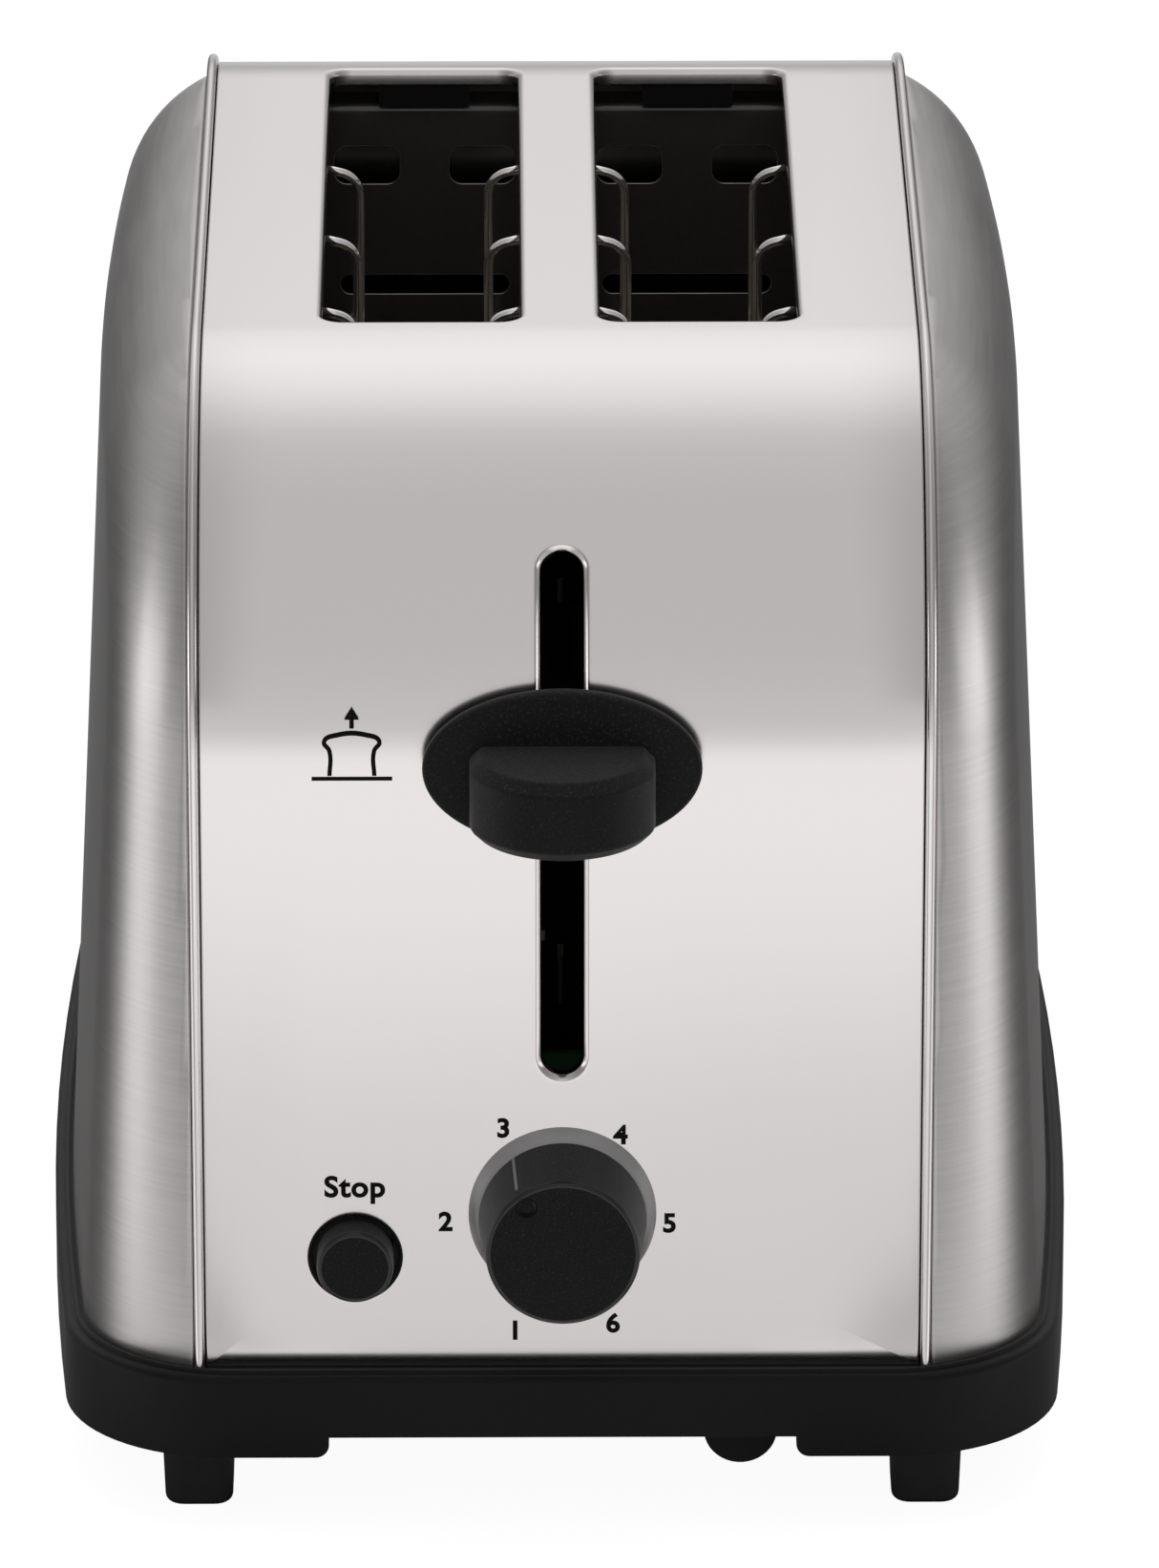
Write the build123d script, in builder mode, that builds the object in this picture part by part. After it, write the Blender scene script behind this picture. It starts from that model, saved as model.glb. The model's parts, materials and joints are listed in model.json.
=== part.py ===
from build123d import *
import os

# Two-slot pop-up toaster with its lever at one end.
# Millimetres, +Z up, the lever end towards -Y, origin on the worktop under the middle of the whole box.

# Steel body: a polished band arching from front to back between two drawn side panels
body_length = 268.0
body_height = 181.0
arch_radius = 62.0
band_half_width = 65.6
sheet = 0.8
side_half_width = 93.3
side_top_half_width = 84.9
side_bulge = 7.0
side_round = 25.5
seam_gap = 0.2
rim_width = 1.8
rim_proud = 1.6
rim_depth = 5.0
rim_round = 0.8

# Bread slots in the band
slot_start = 65.6
slot_length = 146.4
slot_width = 36.4
slot_spacing = 51.1
slot_corner = 4.0
slot_lip = 3.0
tab_width = 17.6
tab_drop = 8.0

# Moulded base and feet
skirt_bottom = 15.0
skirt_height = 16.0
skirt_step_rise = 4.0
skirt_step_half_width = 43.0
skirt_step_round = 2.5
base_overhang = 5.0
base_side_overhang = 3.4
base_edge = 1.2
base_wall = 2.6
floor_thickness = 2.5
ledge_thickness = 2.5
lip_gap = 0.6
lip_wall = 2.0
lip_height = 4.0
lip_corner_gap = 7.0
foot_width = 13.8
foot_depth = 16.0
foot_corner = 3.4
foot_edge = 1.2
foot_draft = 2.0
foot_spacing = 134.6
foot_setback = 5.5
cleat_width = 13.6
cleat_drop = 12.0
cleat_thickness = 4.0
cleat_x = 33.0
cleat_setback = 10.0
vent_count = 5
vent_length = 60.0
vent_width = 4.0
vent_pitch = 16.0

# Toasting chamber
chamber_end_gap = 1.5
plate_half_width = 60.0
plate_drop = 8.0
plate_flange = 8.0
plate_bend = 1.6
plate_foot = 10.0
passage_gap = 5.0
passage_height = 12.0
window_width = 12.7
window_height = 7.8
window_corner = 2.5
window_offset = 11.2
window_depth = 20.4
slit_width = 33.0
slit_height = 4.0
slit_depth = 45.0
reflector_x = 57.0
reflector_foot = 12.0
reflector_flange = 6.0
screw_radius = 2.0
screw_head_radius = 3.8
screw_head_height = 2.2
screw_length = 6.0
screw_gap = 0.2
screw_sides = 6

# Heating cards and their resistance ribbons
card_thickness = 0.6
card_bottom = 30.0
card_top_depth = 34.0
card_end_gap = 1.0
card_spacing = 49.0
card_tab_height = 12.0
card_tab_inset = 22.0
card_gap = 0.15
ribbon_width = 1.8
ribbon_thickness = 0.25
ribbon_pitch = 9.5
ribbon_edge = 8.0

# Wire bread guides
wire_radius = 0.9
wire_sides = 6
wire_gap = 0.15
wire_start = 3.6
wire_spacing = 41.0
wire_count = 4
guide_half_spread = 12.4
guide_bottom = 24.0
guide_top_depth = 15.0
flare_reach = 6.6
flare_rise = 1.6
flare_radius = 4.5
weld_depth = 0.2
tie_inset = 12.0
tie_count = 2
tie_top_depth = 52.0

# Carriage, its guide rod and the lever
carriage_down = 52.0
carriage_up = 26.0
lever_height = 120.0
arm_thickness = 3.0
arm_height = 14.0
arm_tongue = 8.0
lever_slot_width = 8.0
lever_slot_end_gap = 3.0
carriage_depth = 55.0
carriage_sheet = 1.5
carriage_margin = 6.0
carriage_head = 9.0
carriage_window_gap = 9.0
carriage_round = 3.0
slider_width = 14.0
slider_depth = 13.0
slider_height = 34.0
rod_x = 18.0
rod_radius = 3.0
rod_fit = 0.05
rod_boss_radius = 7.0
rod_boss_height = 8.0
rod_bracket_gap = 3.0
rod_bracket_sheet = 2.0
rod_bracket_width = 18.0
rod_end = 2.0
rest_top = 76.0
rest_width = 16.0
rest_sheet = 1.2
rest_web = 8.0
rest_end_gap = 4.0
rest_notch_count = 6
rest_notch_length = 12.0
rest_notch_depth = 4.0
rest_slot_gap = 0.5
spring_wire = 0.7
spring_gap = 0.7
spring_turns = 6
spring_wire_sides = 4

# Lever handle
lever_gap = 2.6
lever_plate = 3.0
lever_plate_width = 50.6
lever_plate_height = 30.4
lever_plate_edge = 0.9
grip_width = 33.5
grip_height = 15.2
grip_depth = 20.0
grip_straight = 8.0
grip_drop = 2.8
grip_bevel = 2.2
grip_corner = 3.4
grip_socket = 9.0
socket_gap = 0.1

# Hold-down magnet
magnet_x = -17.0
magnet_gap = 1.0
core_width = 28.0
core_depth = 12.0
core_leg = 5.0
core_post = 8.0
core_yoke = 6.0
coil_wall = 3.2
coil_gap = 0.3
coil_drop = 3.0
armature_sheet = 2.0
armature_gap = 0.3
armature_height = 69.0

# Control board and the two controls on the front
board_depth = 24.0
board_thickness = 1.6
board_half_width = 54.0
board_height = 62.0
board_gap = 0.1
board_groove = 2.0
post_width = 4.0
post_depth = 8.0
post_height = 40.0
knob_height = 31.0
knob_radius = 15.4
knob_length = 16.0
knob_draft = 0.4
knob_edge = 1.6
knob_wall = 2.2
hub_radius = 5.0
shaft_radius = 3.0
shaft_grip = 11.0
dial_body_radius = 8.5
dial_body_length = 12.0
dial_bush_radius = 4.6
dial_bush_length = 6.0
dial_bore_depth = 9.0
dial_hole_gap = 1.0
collar_radius = 17.2
collar_length = 3.0
collar_clearance = 0.4
collar_spigot = 4.0
collar_wall = 2.0
pointer_angle = 33.0
pointer_radius = 10.4
dimple_radius = 2.0
dimple_depth = 0.5
pointer_width = 0.8
pointer_depth = 0.4
stop_x = -38.0
stop_height = 22.0
stop_radius = 7.05
stop_hole_gap = 0.65
stop_proud = 5.0
stop_edge = 0.9
stop_collar = 1.9
stop_collar_sheet = 1.5
stop_collar_gap = 0.3
stop_stem_radius = 2.5
stop_travel = 3.0
switch_width = 13.0
switch_length = 11.0
switch_fit = 0.1
relay_width = 19.0
relay_height = 16.0
relay_length = 15.0
capacitor_radius = 6.0
capacitor_length = 18.0
component_spacing = 34.0
component_height = 26.0

# Crumb tray
tray_half_width = 49.0
tray_sheet = 0.6
tray_wall = 5.6
tray_gap = 0.2
tray_side_gap = 0.4
tray_front_gap = 3.0
tray_corner = 3.0
tray_handle_depth = 7.0
tray_pull_radius = 3.0
rail_width = 2.0
rail_height = 4.0

# Mains inlet under the base
inlet_x = 70.0
inlet_setback = 40.0
inlet_radius = 6.0
inlet_bore = 3.7
inlet_flange = 2.4
inlet_flange_height = 2.0
inlet_length = 12.0
terminal_width = 15.0
terminal_depth = 12.0
terminal_height = 10.0
terminal_offset = 17.0
terminal_ways = 3
terminal_wall = 1.6

# Heights and places that follow
ledge = skirt_bottom + skirt_height
floor_under = skirt_bottom + skirt_step_rise
floor_top = floor_under + floor_thickness
top = ledge + body_height
mouth_top = ledge - ledge_thickness
lever_reach = lever_gap + lever_plate + grip_depth
front = lever_reach - (lever_reach + body_length + base_overhang) / 2
rear = front + body_length
mid = (front + rear) / 2
slots_near = front + slot_start
slots_far = slots_near + slot_length
slots_mid = (slots_near + slots_far) / 2
slot_x = slot_spacing / 2
chamber_near = slots_near - chamber_end_gap
chamber_far = slots_far + chamber_end_gap
chamber_length = chamber_far - chamber_near
plate_top = top - plate_drop
leg_width = plate_half_width - tray_half_width - passage_gap
leg_x = plate_half_width - leg_width / 2
screw_back = sheet + plate_foot / 2
guide_offsets = (-guide_half_spread, guide_half_spread)
card_low = ledge + card_bottom
card_high = top - card_top_depth
card_tabs = (card_low + card_tab_inset, card_high - card_tab_inset)
tie_reach = 2 * wire_radius - weld_depth
tie_low = ledge + guide_bottom + tie_inset
tie_step = (top - tie_top_depth - tie_low) / (tie_count - 1)
tie_heights = [tie_low + step * tie_step for step in range(tie_count)]
lever_z = ledge + lever_height
rest_z = ledge + rest_top
web_low = rest_z - rest_sheet - rest_web
carriage_low = web_low - carriage_margin / 2
carriage_high = lever_z + carriage_head
carriage_half_width = slot_x + carriage_margin
carriage_face = front + carriage_depth
rod_y = carriage_face - slider_depth / 2
slider_low = lever_z - slider_height / 2
slider_high = lever_z + slider_height / 2
bracket_z = slider_high + carriage_up + rod_bracket_gap
armature_z = ledge + armature_height
pole_z = armature_z - carriage_down - armature_gap
magnet_y = carriage_face - magnet_gap - core_depth / 2 - coil_gap - coil_wall
board_y = front + board_depth
knob_z = ledge + knob_height
stop_z = ledge + stop_height
base_end = rear + base_overhang


# Outlines shared by several pieces


def arch(inset):
    """Side outline of the band, inset from its outer face."""
    with BuildSketch(Plane.YZ) as outline:
        with Locations((mid, ledge)):
            Rectangle(body_length - 2 * inset, body_height - inset, align=(Align.CENTER, Align.MIN))
        fillet(outline.vertices().group_by(Axis.Y)[-1], arch_radius - inset)
    return outline.sketch


def base_plan(inset, height):
    """Plan outline of the base, inset from its outer wall, at the given height."""
    half = side_half_width + base_side_overhang - inset
    corner = half - side_bulge
    near = front - base_overhang + inset
    far = base_end - inset
    with BuildSketch(Plane.XY.offset(height)) as outline:
        with BuildLine():
            ThreePointArc((corner, near), (half, mid), (corner, far))
            Line((corner, far), (-corner, far))
            ThreePointArc((-corner, far), (-half, mid), (-corner, near))
            Line((-corner, near), (corner, near))
        make_face()
        fillet(outline.vertices(), side_round + base_overhang - inset)
    return outline.sketch


def side_plan(half, height):
    """Plan of the bulged wall of a side panel, reaching out to half at mid-length."""
    corner = half - side_bulge
    near = front - base_overhang
    with BuildSketch(Plane.XY.offset(height)) as outline:
        with BuildLine():
            ThreePointArc((corner, near), (half, mid), (corner, base_end))
            Polyline((corner, base_end), (0, base_end), (0, near), (corner, near))
        make_face()
    return outline.sketch


def front_plane(depth):
    """Upright plane facing the front, the given depth behind the band's front face."""
    return Plane.XZ.offset(-front - depth)


# Base moulding, standing on four feet

lip_inset = base_overhang + sheet + lip_gap
tray_mouth_half = tray_half_width + tray_side_gap
foot_y = front + foot_setback + foot_depth / 2
foot_row = 2 * (mid - foot_y)
screw_spots = [
    (side * leg_x, y)
    for side in (-1, 1)
    for y in (chamber_near - screw_back, chamber_far + screw_back)
]
lip_corners = [
    (side * band_half_width, y) for side in (-1, 1) for y in (front + lip_inset, rear - lip_inset)
]
post_x = board_half_width - board_groove + post_width / 2
groove_x = board_half_width - (board_groove - board_gap) / 2
inlet_y = rear - inlet_setback

with BuildPart() as base_moulding:
    extrude(base_plan(0, skirt_bottom), amount=skirt_height)
    fillet(base_moulding.faces().sort_by(Axis.Z)[-1].edges(), base_edge)
    # Hollow above the floor, under a ledge that the steel stands on
    extrude(base_plan(base_wall, floor_top), amount=mouth_top - floor_top, mode=Mode.SUBTRACT)
    extrude(base_plan(lip_inset + lip_wall, mouth_top), amount=ledge_thickness, mode=Mode.SUBTRACT)
    # Lip that stands inside the steel, left out where the rims pass
    extrude(base_plan(lip_inset, ledge) - base_plan(lip_inset + lip_wall, ledge), amount=lip_height)
    with BuildSketch(Plane.XY.offset(ledge)):
        with Locations(*lip_corners):
            Rectangle(2 * lip_corner_gap, 4 * lip_corner_gap)
    extrude(amount=lip_height, mode=Mode.SUBTRACT)
    # Skirt below the floor, raised in the middle of both ends
    extrude(base_plan(base_wall, skirt_bottom), amount=skirt_step_rise, mode=Mode.SUBTRACT)
    with BuildSketch(Plane.XZ.offset(-front + base_overhang)):
        with Locations((0, skirt_bottom)):
            Rectangle(2 * skirt_step_half_width, skirt_step_rise, align=(Align.CENTER, Align.MIN))
    extrude(amount=-(body_length + 2 * base_overhang), mode=Mode.SUBTRACT)
    step_ends = base_moulding.edges().filter_by(Axis.Y).group_by(Axis.Z)[0]
    fillet(step_ends, skirt_step_round)
    # Mouth of the crumb tray, and the rails that it runs between
    with BuildSketch(Plane.XZ.offset(-base_end)):
        with Locations((0, floor_top)):
            Rectangle(2 * tray_mouth_half, mouth_top - floor_top, align=(Align.CENTER, Align.MIN))
    extrude(amount=base_wall, mode=Mode.SUBTRACT)
    with BuildSketch(Plane.XY.offset(floor_top)):
        for side in (-1, 1):
            with Locations((side * (tray_mouth_half + rail_width / 2), slots_mid)):
                Rectangle(rail_width, slot_length)
    extrude(amount=rail_height)
    # Posts that hold the control board upright by its edges
    with BuildSketch(Plane.XY.offset(floor_top)):
        for side in (-1, 1):
            with Locations((side * post_x, board_y + board_thickness / 2)):
                Rectangle(post_width, post_depth)
            with Locations((side * groove_x, board_y + board_thickness / 2)):
                Rectangle(board_groove + board_gap, board_thickness + 2 * board_gap, mode=Mode.SUBTRACT)
    extrude(amount=post_height)
    # Boss of the carriage rod
    with BuildSketch(Plane.XY.offset(floor_top)):
        with Locations((rod_x, rod_y)):
            Circle(rod_boss_radius)
            Circle(rod_radius + rod_fit, mode=Mode.SUBTRACT)
    extrude(amount=rod_boss_height)
    # Cleats that the lead is wound on, under the floor
    for face, inward in ((front + cleat_setback, 1), (rear - cleat_setback, -1)):
        with BuildSketch(Plane.XZ.offset(-face)):
            with Locations((cleat_x, floor_under)):
                Rectangle(cleat_width, cleat_drop - cleat_width / 2, align=(Align.CENTER, Align.MAX))
            with Locations((cleat_x, floor_under - cleat_drop + cleat_width / 2)):
                Circle(cleat_width / 2)
        extrude(amount=-inward * cleat_thickness)
    # Vents under the chamber, screw holes and the hole of the mains inlet
    with BuildSketch(Plane.XY.offset(floor_under)):
        with Locations((0, slots_mid)):
            with GridLocations(vent_pitch, 0, vent_count, 1):
                Rectangle(vent_width, vent_length)
        with Locations(*screw_spots):
            Circle(screw_radius + screw_gap)
        with Locations((inlet_x, inlet_y)):
            Circle(inlet_radius)
    extrude(amount=floor_thickness, mode=Mode.SUBTRACT)
base_moulding.part.label = "base_moulding"

with BuildPart() as feet:
    with BuildSketch(Plane.XY.offset(floor_under)):
        with Locations((0, mid)):
            with GridLocations(foot_spacing, foot_row, 2, 2):
                RectangleRounded(foot_width, foot_depth, foot_corner)
    extrude(amount=-floor_under, taper=foot_draft)
    chamfer(feet.faces().group_by(Axis.Z)[0].edges(), foot_edge)
feet.part.label = "feet"


# Polished band with its bread slots, lever slot and control holes

lever_slot_low = lever_z - arm_height / 2 - carriage_down - lever_slot_end_gap
lever_slot_high = lever_z + arm_height / 2 + carriage_up + lever_slot_end_gap

with BuildPart() as polished_band:
    extrude(arch(0) - arch(sheet), amount=band_half_width, both=True)
    # Bread slots with turned-down lips and a tab at each end
    with BuildSketch(Plane.XY.offset(top - slot_lip)):
        with Locations((-slot_x, slots_mid), (slot_x, slots_mid)):
            RectangleRounded(slot_width + 2 * sheet, slot_length + 2 * sheet, slot_corner + sheet)
    extrude(amount=slot_lip - sheet)
    with BuildSketch(Plane.XY.offset(top - slot_lip)):
        with Locations((-slot_x, slots_mid), (slot_x, slots_mid)):
            RectangleRounded(slot_width, slot_length, slot_corner)
    extrude(amount=slot_lip, mode=Mode.SUBTRACT)
    with BuildSketch(Plane.XY.offset(top - sheet)):
        for side in (-1, 1):
            for y, seat in ((slots_near, Align.MAX), (slots_far, Align.MIN)):
                with Locations((side * slot_x, y)):
                    Rectangle(tab_width, sheet, align=(Align.CENTER, seat))
    extrude(amount=sheet - tab_drop)
    # Lever slot, running up into the curve of the front
    with BuildSketch(front_plane(-sheet)):
        with Locations((0, (lever_slot_low + lever_slot_high) / 2)):
            SlotOverall(lever_slot_high - lever_slot_low, lever_slot_width, rotation=90)
        with Locations((0, knob_z)):
            Circle(hub_radius + dial_hole_gap)
        with Locations((stop_x, stop_z)):
            Circle(stop_radius + stop_hole_gap)
    extrude(amount=-arch_radius, mode=Mode.SUBTRACT)
polished_band.part.label = "polished_band"


# Side panels: a deep-drawn shell with a rolled rim that overlaps the band's edge


def side_form(inset):
    """Right-hand side as a full solid, inset from its skin."""
    with BuildPart() as form:
        extrude(arch(inset), amount=side_half_width)
        low = side_plan(side_half_width - inset, ledge)
        high = side_plan(side_top_half_width - inset, top)
        loft([low, high], ruled=True, mode=Mode.INTERSECT)
        wall = form.faces().sort_by(Axis.X)[-1]
        fillet(wall.edges().sort_by(Axis.Z)[1:], side_round - inset)
    return form.part


rim_x = band_half_width + seam_gap

with BuildPart() as right_panel:
    with BuildLine() as seam:
        FilletPolyline(
            (rim_x, front, ledge),
            (rim_x, front, top),
            (rim_x, rear, top),
            (rim_x, rear, ledge),
            radius=arch_radius,
        )
    with BuildSketch(Plane.XY.offset(ledge)) as rim:
        with Locations((rim_x, front - rim_proud)):
            Rectangle(rim_width, rim_proud + rim_depth, align=(Align.MIN, Align.MIN))
        fillet(rim.vertices().group_by(Axis.Y)[0], rim_round)
    sweep(path=seam.line)
    shell = side_form(0) - side_form(sheet)
    add(split(shell, bisect_by=Plane.YZ.offset(rim_x), keep=Keep.TOP, mode=Mode.PRIVATE))
right_panel.part.label = "side_panel_right"

with BuildPart() as left_panel:
    mirror(right_panel.part, about=Plane.YZ)
left_panel.part.label = "side_panel_left"


# Chamber end plates, standing on the floor with the crumb tray passing between their legs


def end_plate(face, outward):
    """Folded end plate whose chamber side is at the given Y, its flanges turned outward."""
    with BuildPart() as plate:
        with BuildSketch(Plane.XZ.offset(-face)):
            with Locations((0, floor_top)):
                Rectangle(2 * plate_half_width, plate_top - floor_top, align=(Align.CENTER, Align.MIN))
                Rectangle(
                    2 * (plate_half_width - leg_width),
                    passage_height,
                    align=(Align.CENTER, Align.MIN),
                    mode=Mode.SUBTRACT,
                )
            for side in (-1, 1):
                for offset_x in guide_offsets:
                    tie_x = side * slot_x + offset_x + (tie_reach if offset_x > 0 else -tie_reach)
                    with Locations(*[(tie_x, z) for z in tie_heights]):
                        RegularPolygon(wire_radius + wire_gap, wire_sides, mode=Mode.SUBTRACT)
            with Locations(*[(x, z) for x in card_places for z in card_tabs]):
                Rectangle(
                    card_thickness + 2 * card_gap, card_tab_height + 2 * card_gap, mode=Mode.SUBTRACT
                )
        extrude(amount=-outward * sheet)
        seat = Align.MIN if outward > 0 else Align.MAX
        with BuildSketch(Plane.XY.offset(plate_top)):
            with Locations((0, face)):
                Rectangle(2 * plate_half_width, plate_flange, align=(Align.CENTER, seat))
        extrude(amount=-sheet)
        bend = plate.edges().filter_by(Axis.X).group_by(Axis.Z)[-1].sort_by(Axis.Y)
        fillet(bend[0] if outward > 0 else bend[-1], plate_bend)
        with BuildSketch(Plane.XY.offset(floor_top)):
            for side in (-1, 1):
                with Locations((side * leg_x, face)):
                    Rectangle(leg_width, plate_foot + sheet, align=(Align.CENTER, seat))
                with Locations((side * leg_x, face + outward * screw_back)):
                    Circle(screw_radius + screw_gap, mode=Mode.SUBTRACT)
        extrude(amount=sheet)
    return plate.part


card_places = (-card_spacing, 0, card_spacing)

with BuildPart() as front_plate:
    add(end_plate(chamber_near, -1))
    # Upright slots that the bread racks travel in
    rest_slot_low = web_low - carriage_down - rest_slot_gap
    rest_slot_high = rest_z + carriage_up + rest_slot_gap
    with BuildSketch(Plane.XZ.offset(-chamber_near)):
        with Locations((-slot_x, rest_slot_low), (slot_x, rest_slot_low)):
            Rectangle(
                rest_sheet + 2 * rest_slot_gap,
                rest_slot_high - rest_slot_low,
                align=(Align.CENTER, Align.MIN),
            )
    extrude(amount=sheet, mode=Mode.SUBTRACT)
front_plate.part.label = "front_chassis_plate"

with BuildPart() as rear_plate:
    add(end_plate(chamber_far, 1))
    # Windows at the top of each slot, and a long slit below them
    with BuildSketch(Plane.XZ.offset(-chamber_far)):
        with Locations((-slot_x, top - window_depth), (slot_x, top - window_depth)):
            with GridLocations(2 * window_offset, 0, 2, 1):
                RectangleRounded(window_width, window_height, window_corner)
        with Locations((-slot_x, top - slit_depth), (slot_x, top - slit_depth)):
            SlotOverall(slit_width, slit_height)
    extrude(amount=-sheet, mode=Mode.SUBTRACT)
rear_plate.part.label = "rear_chassis_plate"


def reflector(name, side):
    """Outer wall of the chamber, its top edge turned in towards the slot."""
    with BuildPart() as wall:
        with BuildSketch(Plane.XZ.offset(-chamber_near)):
            with Locations((side * reflector_x, ledge + reflector_foot)):
                Rectangle(sheet, plate_top - ledge - reflector_foot, align=(Align.CENTER, Align.MIN))
            with Locations((side * (reflector_x + sheet / 2), plate_top)):
                inward = Align.MAX if side > 0 else Align.MIN
                Rectangle(reflector_flange, sheet, align=(inward, Align.MAX))
        extrude(amount=-chamber_length)
    wall.part.label = name
    return wall


left_reflector = reflector("reflector_left", -1)
right_reflector = reflector("reflector_right", 1)

with BuildPart() as chassis_screws:
    with BuildSketch(Plane.XY.offset(floor_under)):
        with Locations(*screw_spots):
            RegularPolygon(screw_head_radius, screw_sides)
    extrude(amount=-screw_head_height)
    with BuildSketch(Plane.XY.offset(floor_under)):
        with Locations(*screw_spots):
            RegularPolygon(screw_radius, screw_sides)
    extrude(amount=screw_length)
chassis_screws.part.label = "chassis_screws"


# Heating cards, tabbed into the end plates, with a ribbon running to and fro on each heated face


def heating_card(name, x):
    """Upright card between the end plates."""
    with BuildPart() as card:
        with BuildSketch(Plane.YZ.offset(x - card_thickness / 2)):
            with Locations((slots_mid, (card_low + card_high) / 2)):
                Rectangle(chamber_length - 2 * card_end_gap, card_high - card_low)
            with Locations(*[(slots_mid, z) for z in card_tabs]):
                Rectangle(chamber_length + 2 * sheet, card_tab_height)
        extrude(amount=card_thickness)
    card.part.label = name
    return card


def ribbon(face_x, outward):
    """One unbroken ribbon lying on a card's face."""
    run = chamber_length - 2 * (card_end_gap + ribbon_edge)
    count = int((card_high - card_low - 2 * ribbon_edge) // ribbon_pitch) + 1
    first = (card_low + card_high - (count - 1) * ribbon_pitch) / 2
    with BuildPart() as strip:
        with BuildSketch(Plane.YZ.offset(face_x)):
            with Locations(*[(slots_mid, first + row * ribbon_pitch) for row in range(count)]):
                Rectangle(run, ribbon_width)
            for row in range(count - 1):
                end = (run - ribbon_width) / 2 * (1 if row % 2 else -1)
                with Locations((slots_mid + end, first + (row + 0.5) * ribbon_pitch)):
                    Rectangle(ribbon_width, ribbon_pitch)
        extrude(amount=outward * ribbon_thickness)
    return strip.part


left_card = heating_card("heating_card_left", -card_spacing)
centre_card = heating_card("heating_card_centre", 0)
right_card = heating_card("heating_card_right", card_spacing)

with BuildPart() as left_ribbon:
    add(ribbon(-card_spacing + card_thickness / 2, 1))
left_ribbon.part.label = "heating_ribbon_left"

with BuildPart() as centre_ribbons:
    add(ribbon(card_thickness / 2, 1))
    add(ribbon(-card_thickness / 2, -1))
centre_ribbons.part.label = "heating_ribbons_centre"

with BuildPart() as right_ribbon:
    add(ribbon(card_spacing - card_thickness / 2, -1))
right_ribbon.part.label = "heating_ribbon_right"


# Bread guides: upright wires that flare at the top, welded to ties held in the end plates


def bread_guide(name, x, outward):
    """Wire grid at the given X, its tops flaring away from the bread."""
    tip = (x + outward * flare_reach, top - guide_top_depth + flare_rise)
    with BuildPart() as guide:
        for wire in range(wire_count):
            y = chamber_near + wire_start + wire * wire_spacing
            with BuildLine() as path:
                FilletPolyline(
                    (x, y, ledge + guide_bottom),
                    (x, y, top - guide_top_depth),
                    (tip[0], y, tip[1]),
                    radius=flare_radius,
                )
            with BuildSketch(Plane(path.line @ 0, z_dir=path.line % 0)):
                RegularPolygon(wire_radius, wire_sides)
            sweep(path=path.line)
        with BuildSketch(Plane.XZ.offset(-chamber_near + sheet)):
            with Locations(*[(x + outward * tie_reach, z) for z in tie_heights]):
                RegularPolygon(wire_radius, wire_sides)
        extrude(amount=-(chamber_length + 2 * sheet))
    guide.part.label = name
    return guide


guides = [
    bread_guide("bread_guide_left_outer", -slot_x - guide_half_spread, -1),
    bread_guide("bread_guide_left_inner", -slot_x + guide_half_spread, 1),
    bread_guide("bread_guide_right_inner", slot_x - guide_half_spread, -1),
    bread_guide("bread_guide_right_outer", slot_x + guide_half_spread, 1),
]


# Carriage: a folded bracket that slides on the rod and carries both racks, the lever and the armature

with BuildPart() as carriage_bracket:
    with BuildSketch(front_plane(carriage_depth)) as blank:
        with Locations((0, carriage_low)):
            Rectangle(
                2 * carriage_half_width, carriage_high - carriage_low, align=(Align.CENTER, Align.MIN)
            )
        fillet(blank.vertices(), carriage_round)
        with Locations((0, armature_z + armature_sheet + carriage_sheet + carriage_window_gap)):
            Rectangle(
                2 * (rod_x - slider_width / 2),
                slider_low - armature_z - armature_sheet - carriage_sheet - carriage_window_gap,
                align=(Align.CENTER, Align.MIN),
                mode=Mode.SUBTRACT,
            )
    extrude(amount=-carriage_sheet)
    with BuildSketch(Plane.XY.offset(armature_z + armature_sheet)):
        with Locations((magnet_x, carriage_face)):
            flange = carriage_face - magnet_y + core_depth / 2
            Rectangle(core_width, flange, align=(Align.CENTER, Align.MAX))
    extrude(amount=carriage_sheet)
carriage_bracket.part.label = "carriage_bracket"

with BuildPart() as slider:
    with BuildSketch(Plane.XY.offset(slider_low)) as block:
        with Locations((rod_x, rod_y)):
            Rectangle(slider_width, slider_depth)
        fillet(block.vertices().group_by(Axis.Y)[0], carriage_round)
        with Locations((rod_x, rod_y)):
            Circle(rod_radius + rod_fit, mode=Mode.SUBTRACT)
    extrude(amount=slider_height)
slider.part.label = "carriage_slider"

with BuildPart() as armature:
    with BuildSketch(Plane.XY.offset(armature_z)):
        with Locations((magnet_x, magnet_y)):
            Rectangle(core_width, core_depth)
    extrude(amount=armature_sheet)
armature.part.label = "armature"


def bread_rack(name, x):
    """Cantilevered rack that a slice stands on: an upright web under a notched strip."""
    start = carriage_face + carriage_sheet
    end = chamber_far - rest_end_gap
    with BuildPart() as rack:
        with BuildSketch(Plane.YZ.offset(x - rest_sheet / 2)):
            with Locations((start, rest_z)):
                Rectangle(end - start, rest_web + rest_sheet, align=(Align.MIN, Align.MAX))
        extrude(amount=rest_sheet)
        with BuildSketch(Plane.XY.offset(rest_z)):
            with Locations((x, end)):
                Rectangle(rest_width, end - chamber_near - rest_end_gap, align=(Align.CENTER, Align.MAX))
            for side in (-1, 1):
                with Locations((x + side * rest_width / 2, slots_mid)):
                    with GridLocations(0, slot_length / rest_notch_count, 1, rest_notch_count):
                        Rectangle(2 * rest_notch_depth, rest_notch_length, mode=Mode.SUBTRACT)
        extrude(amount=-rest_sheet)
    rack.part.label = name
    return rack


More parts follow.
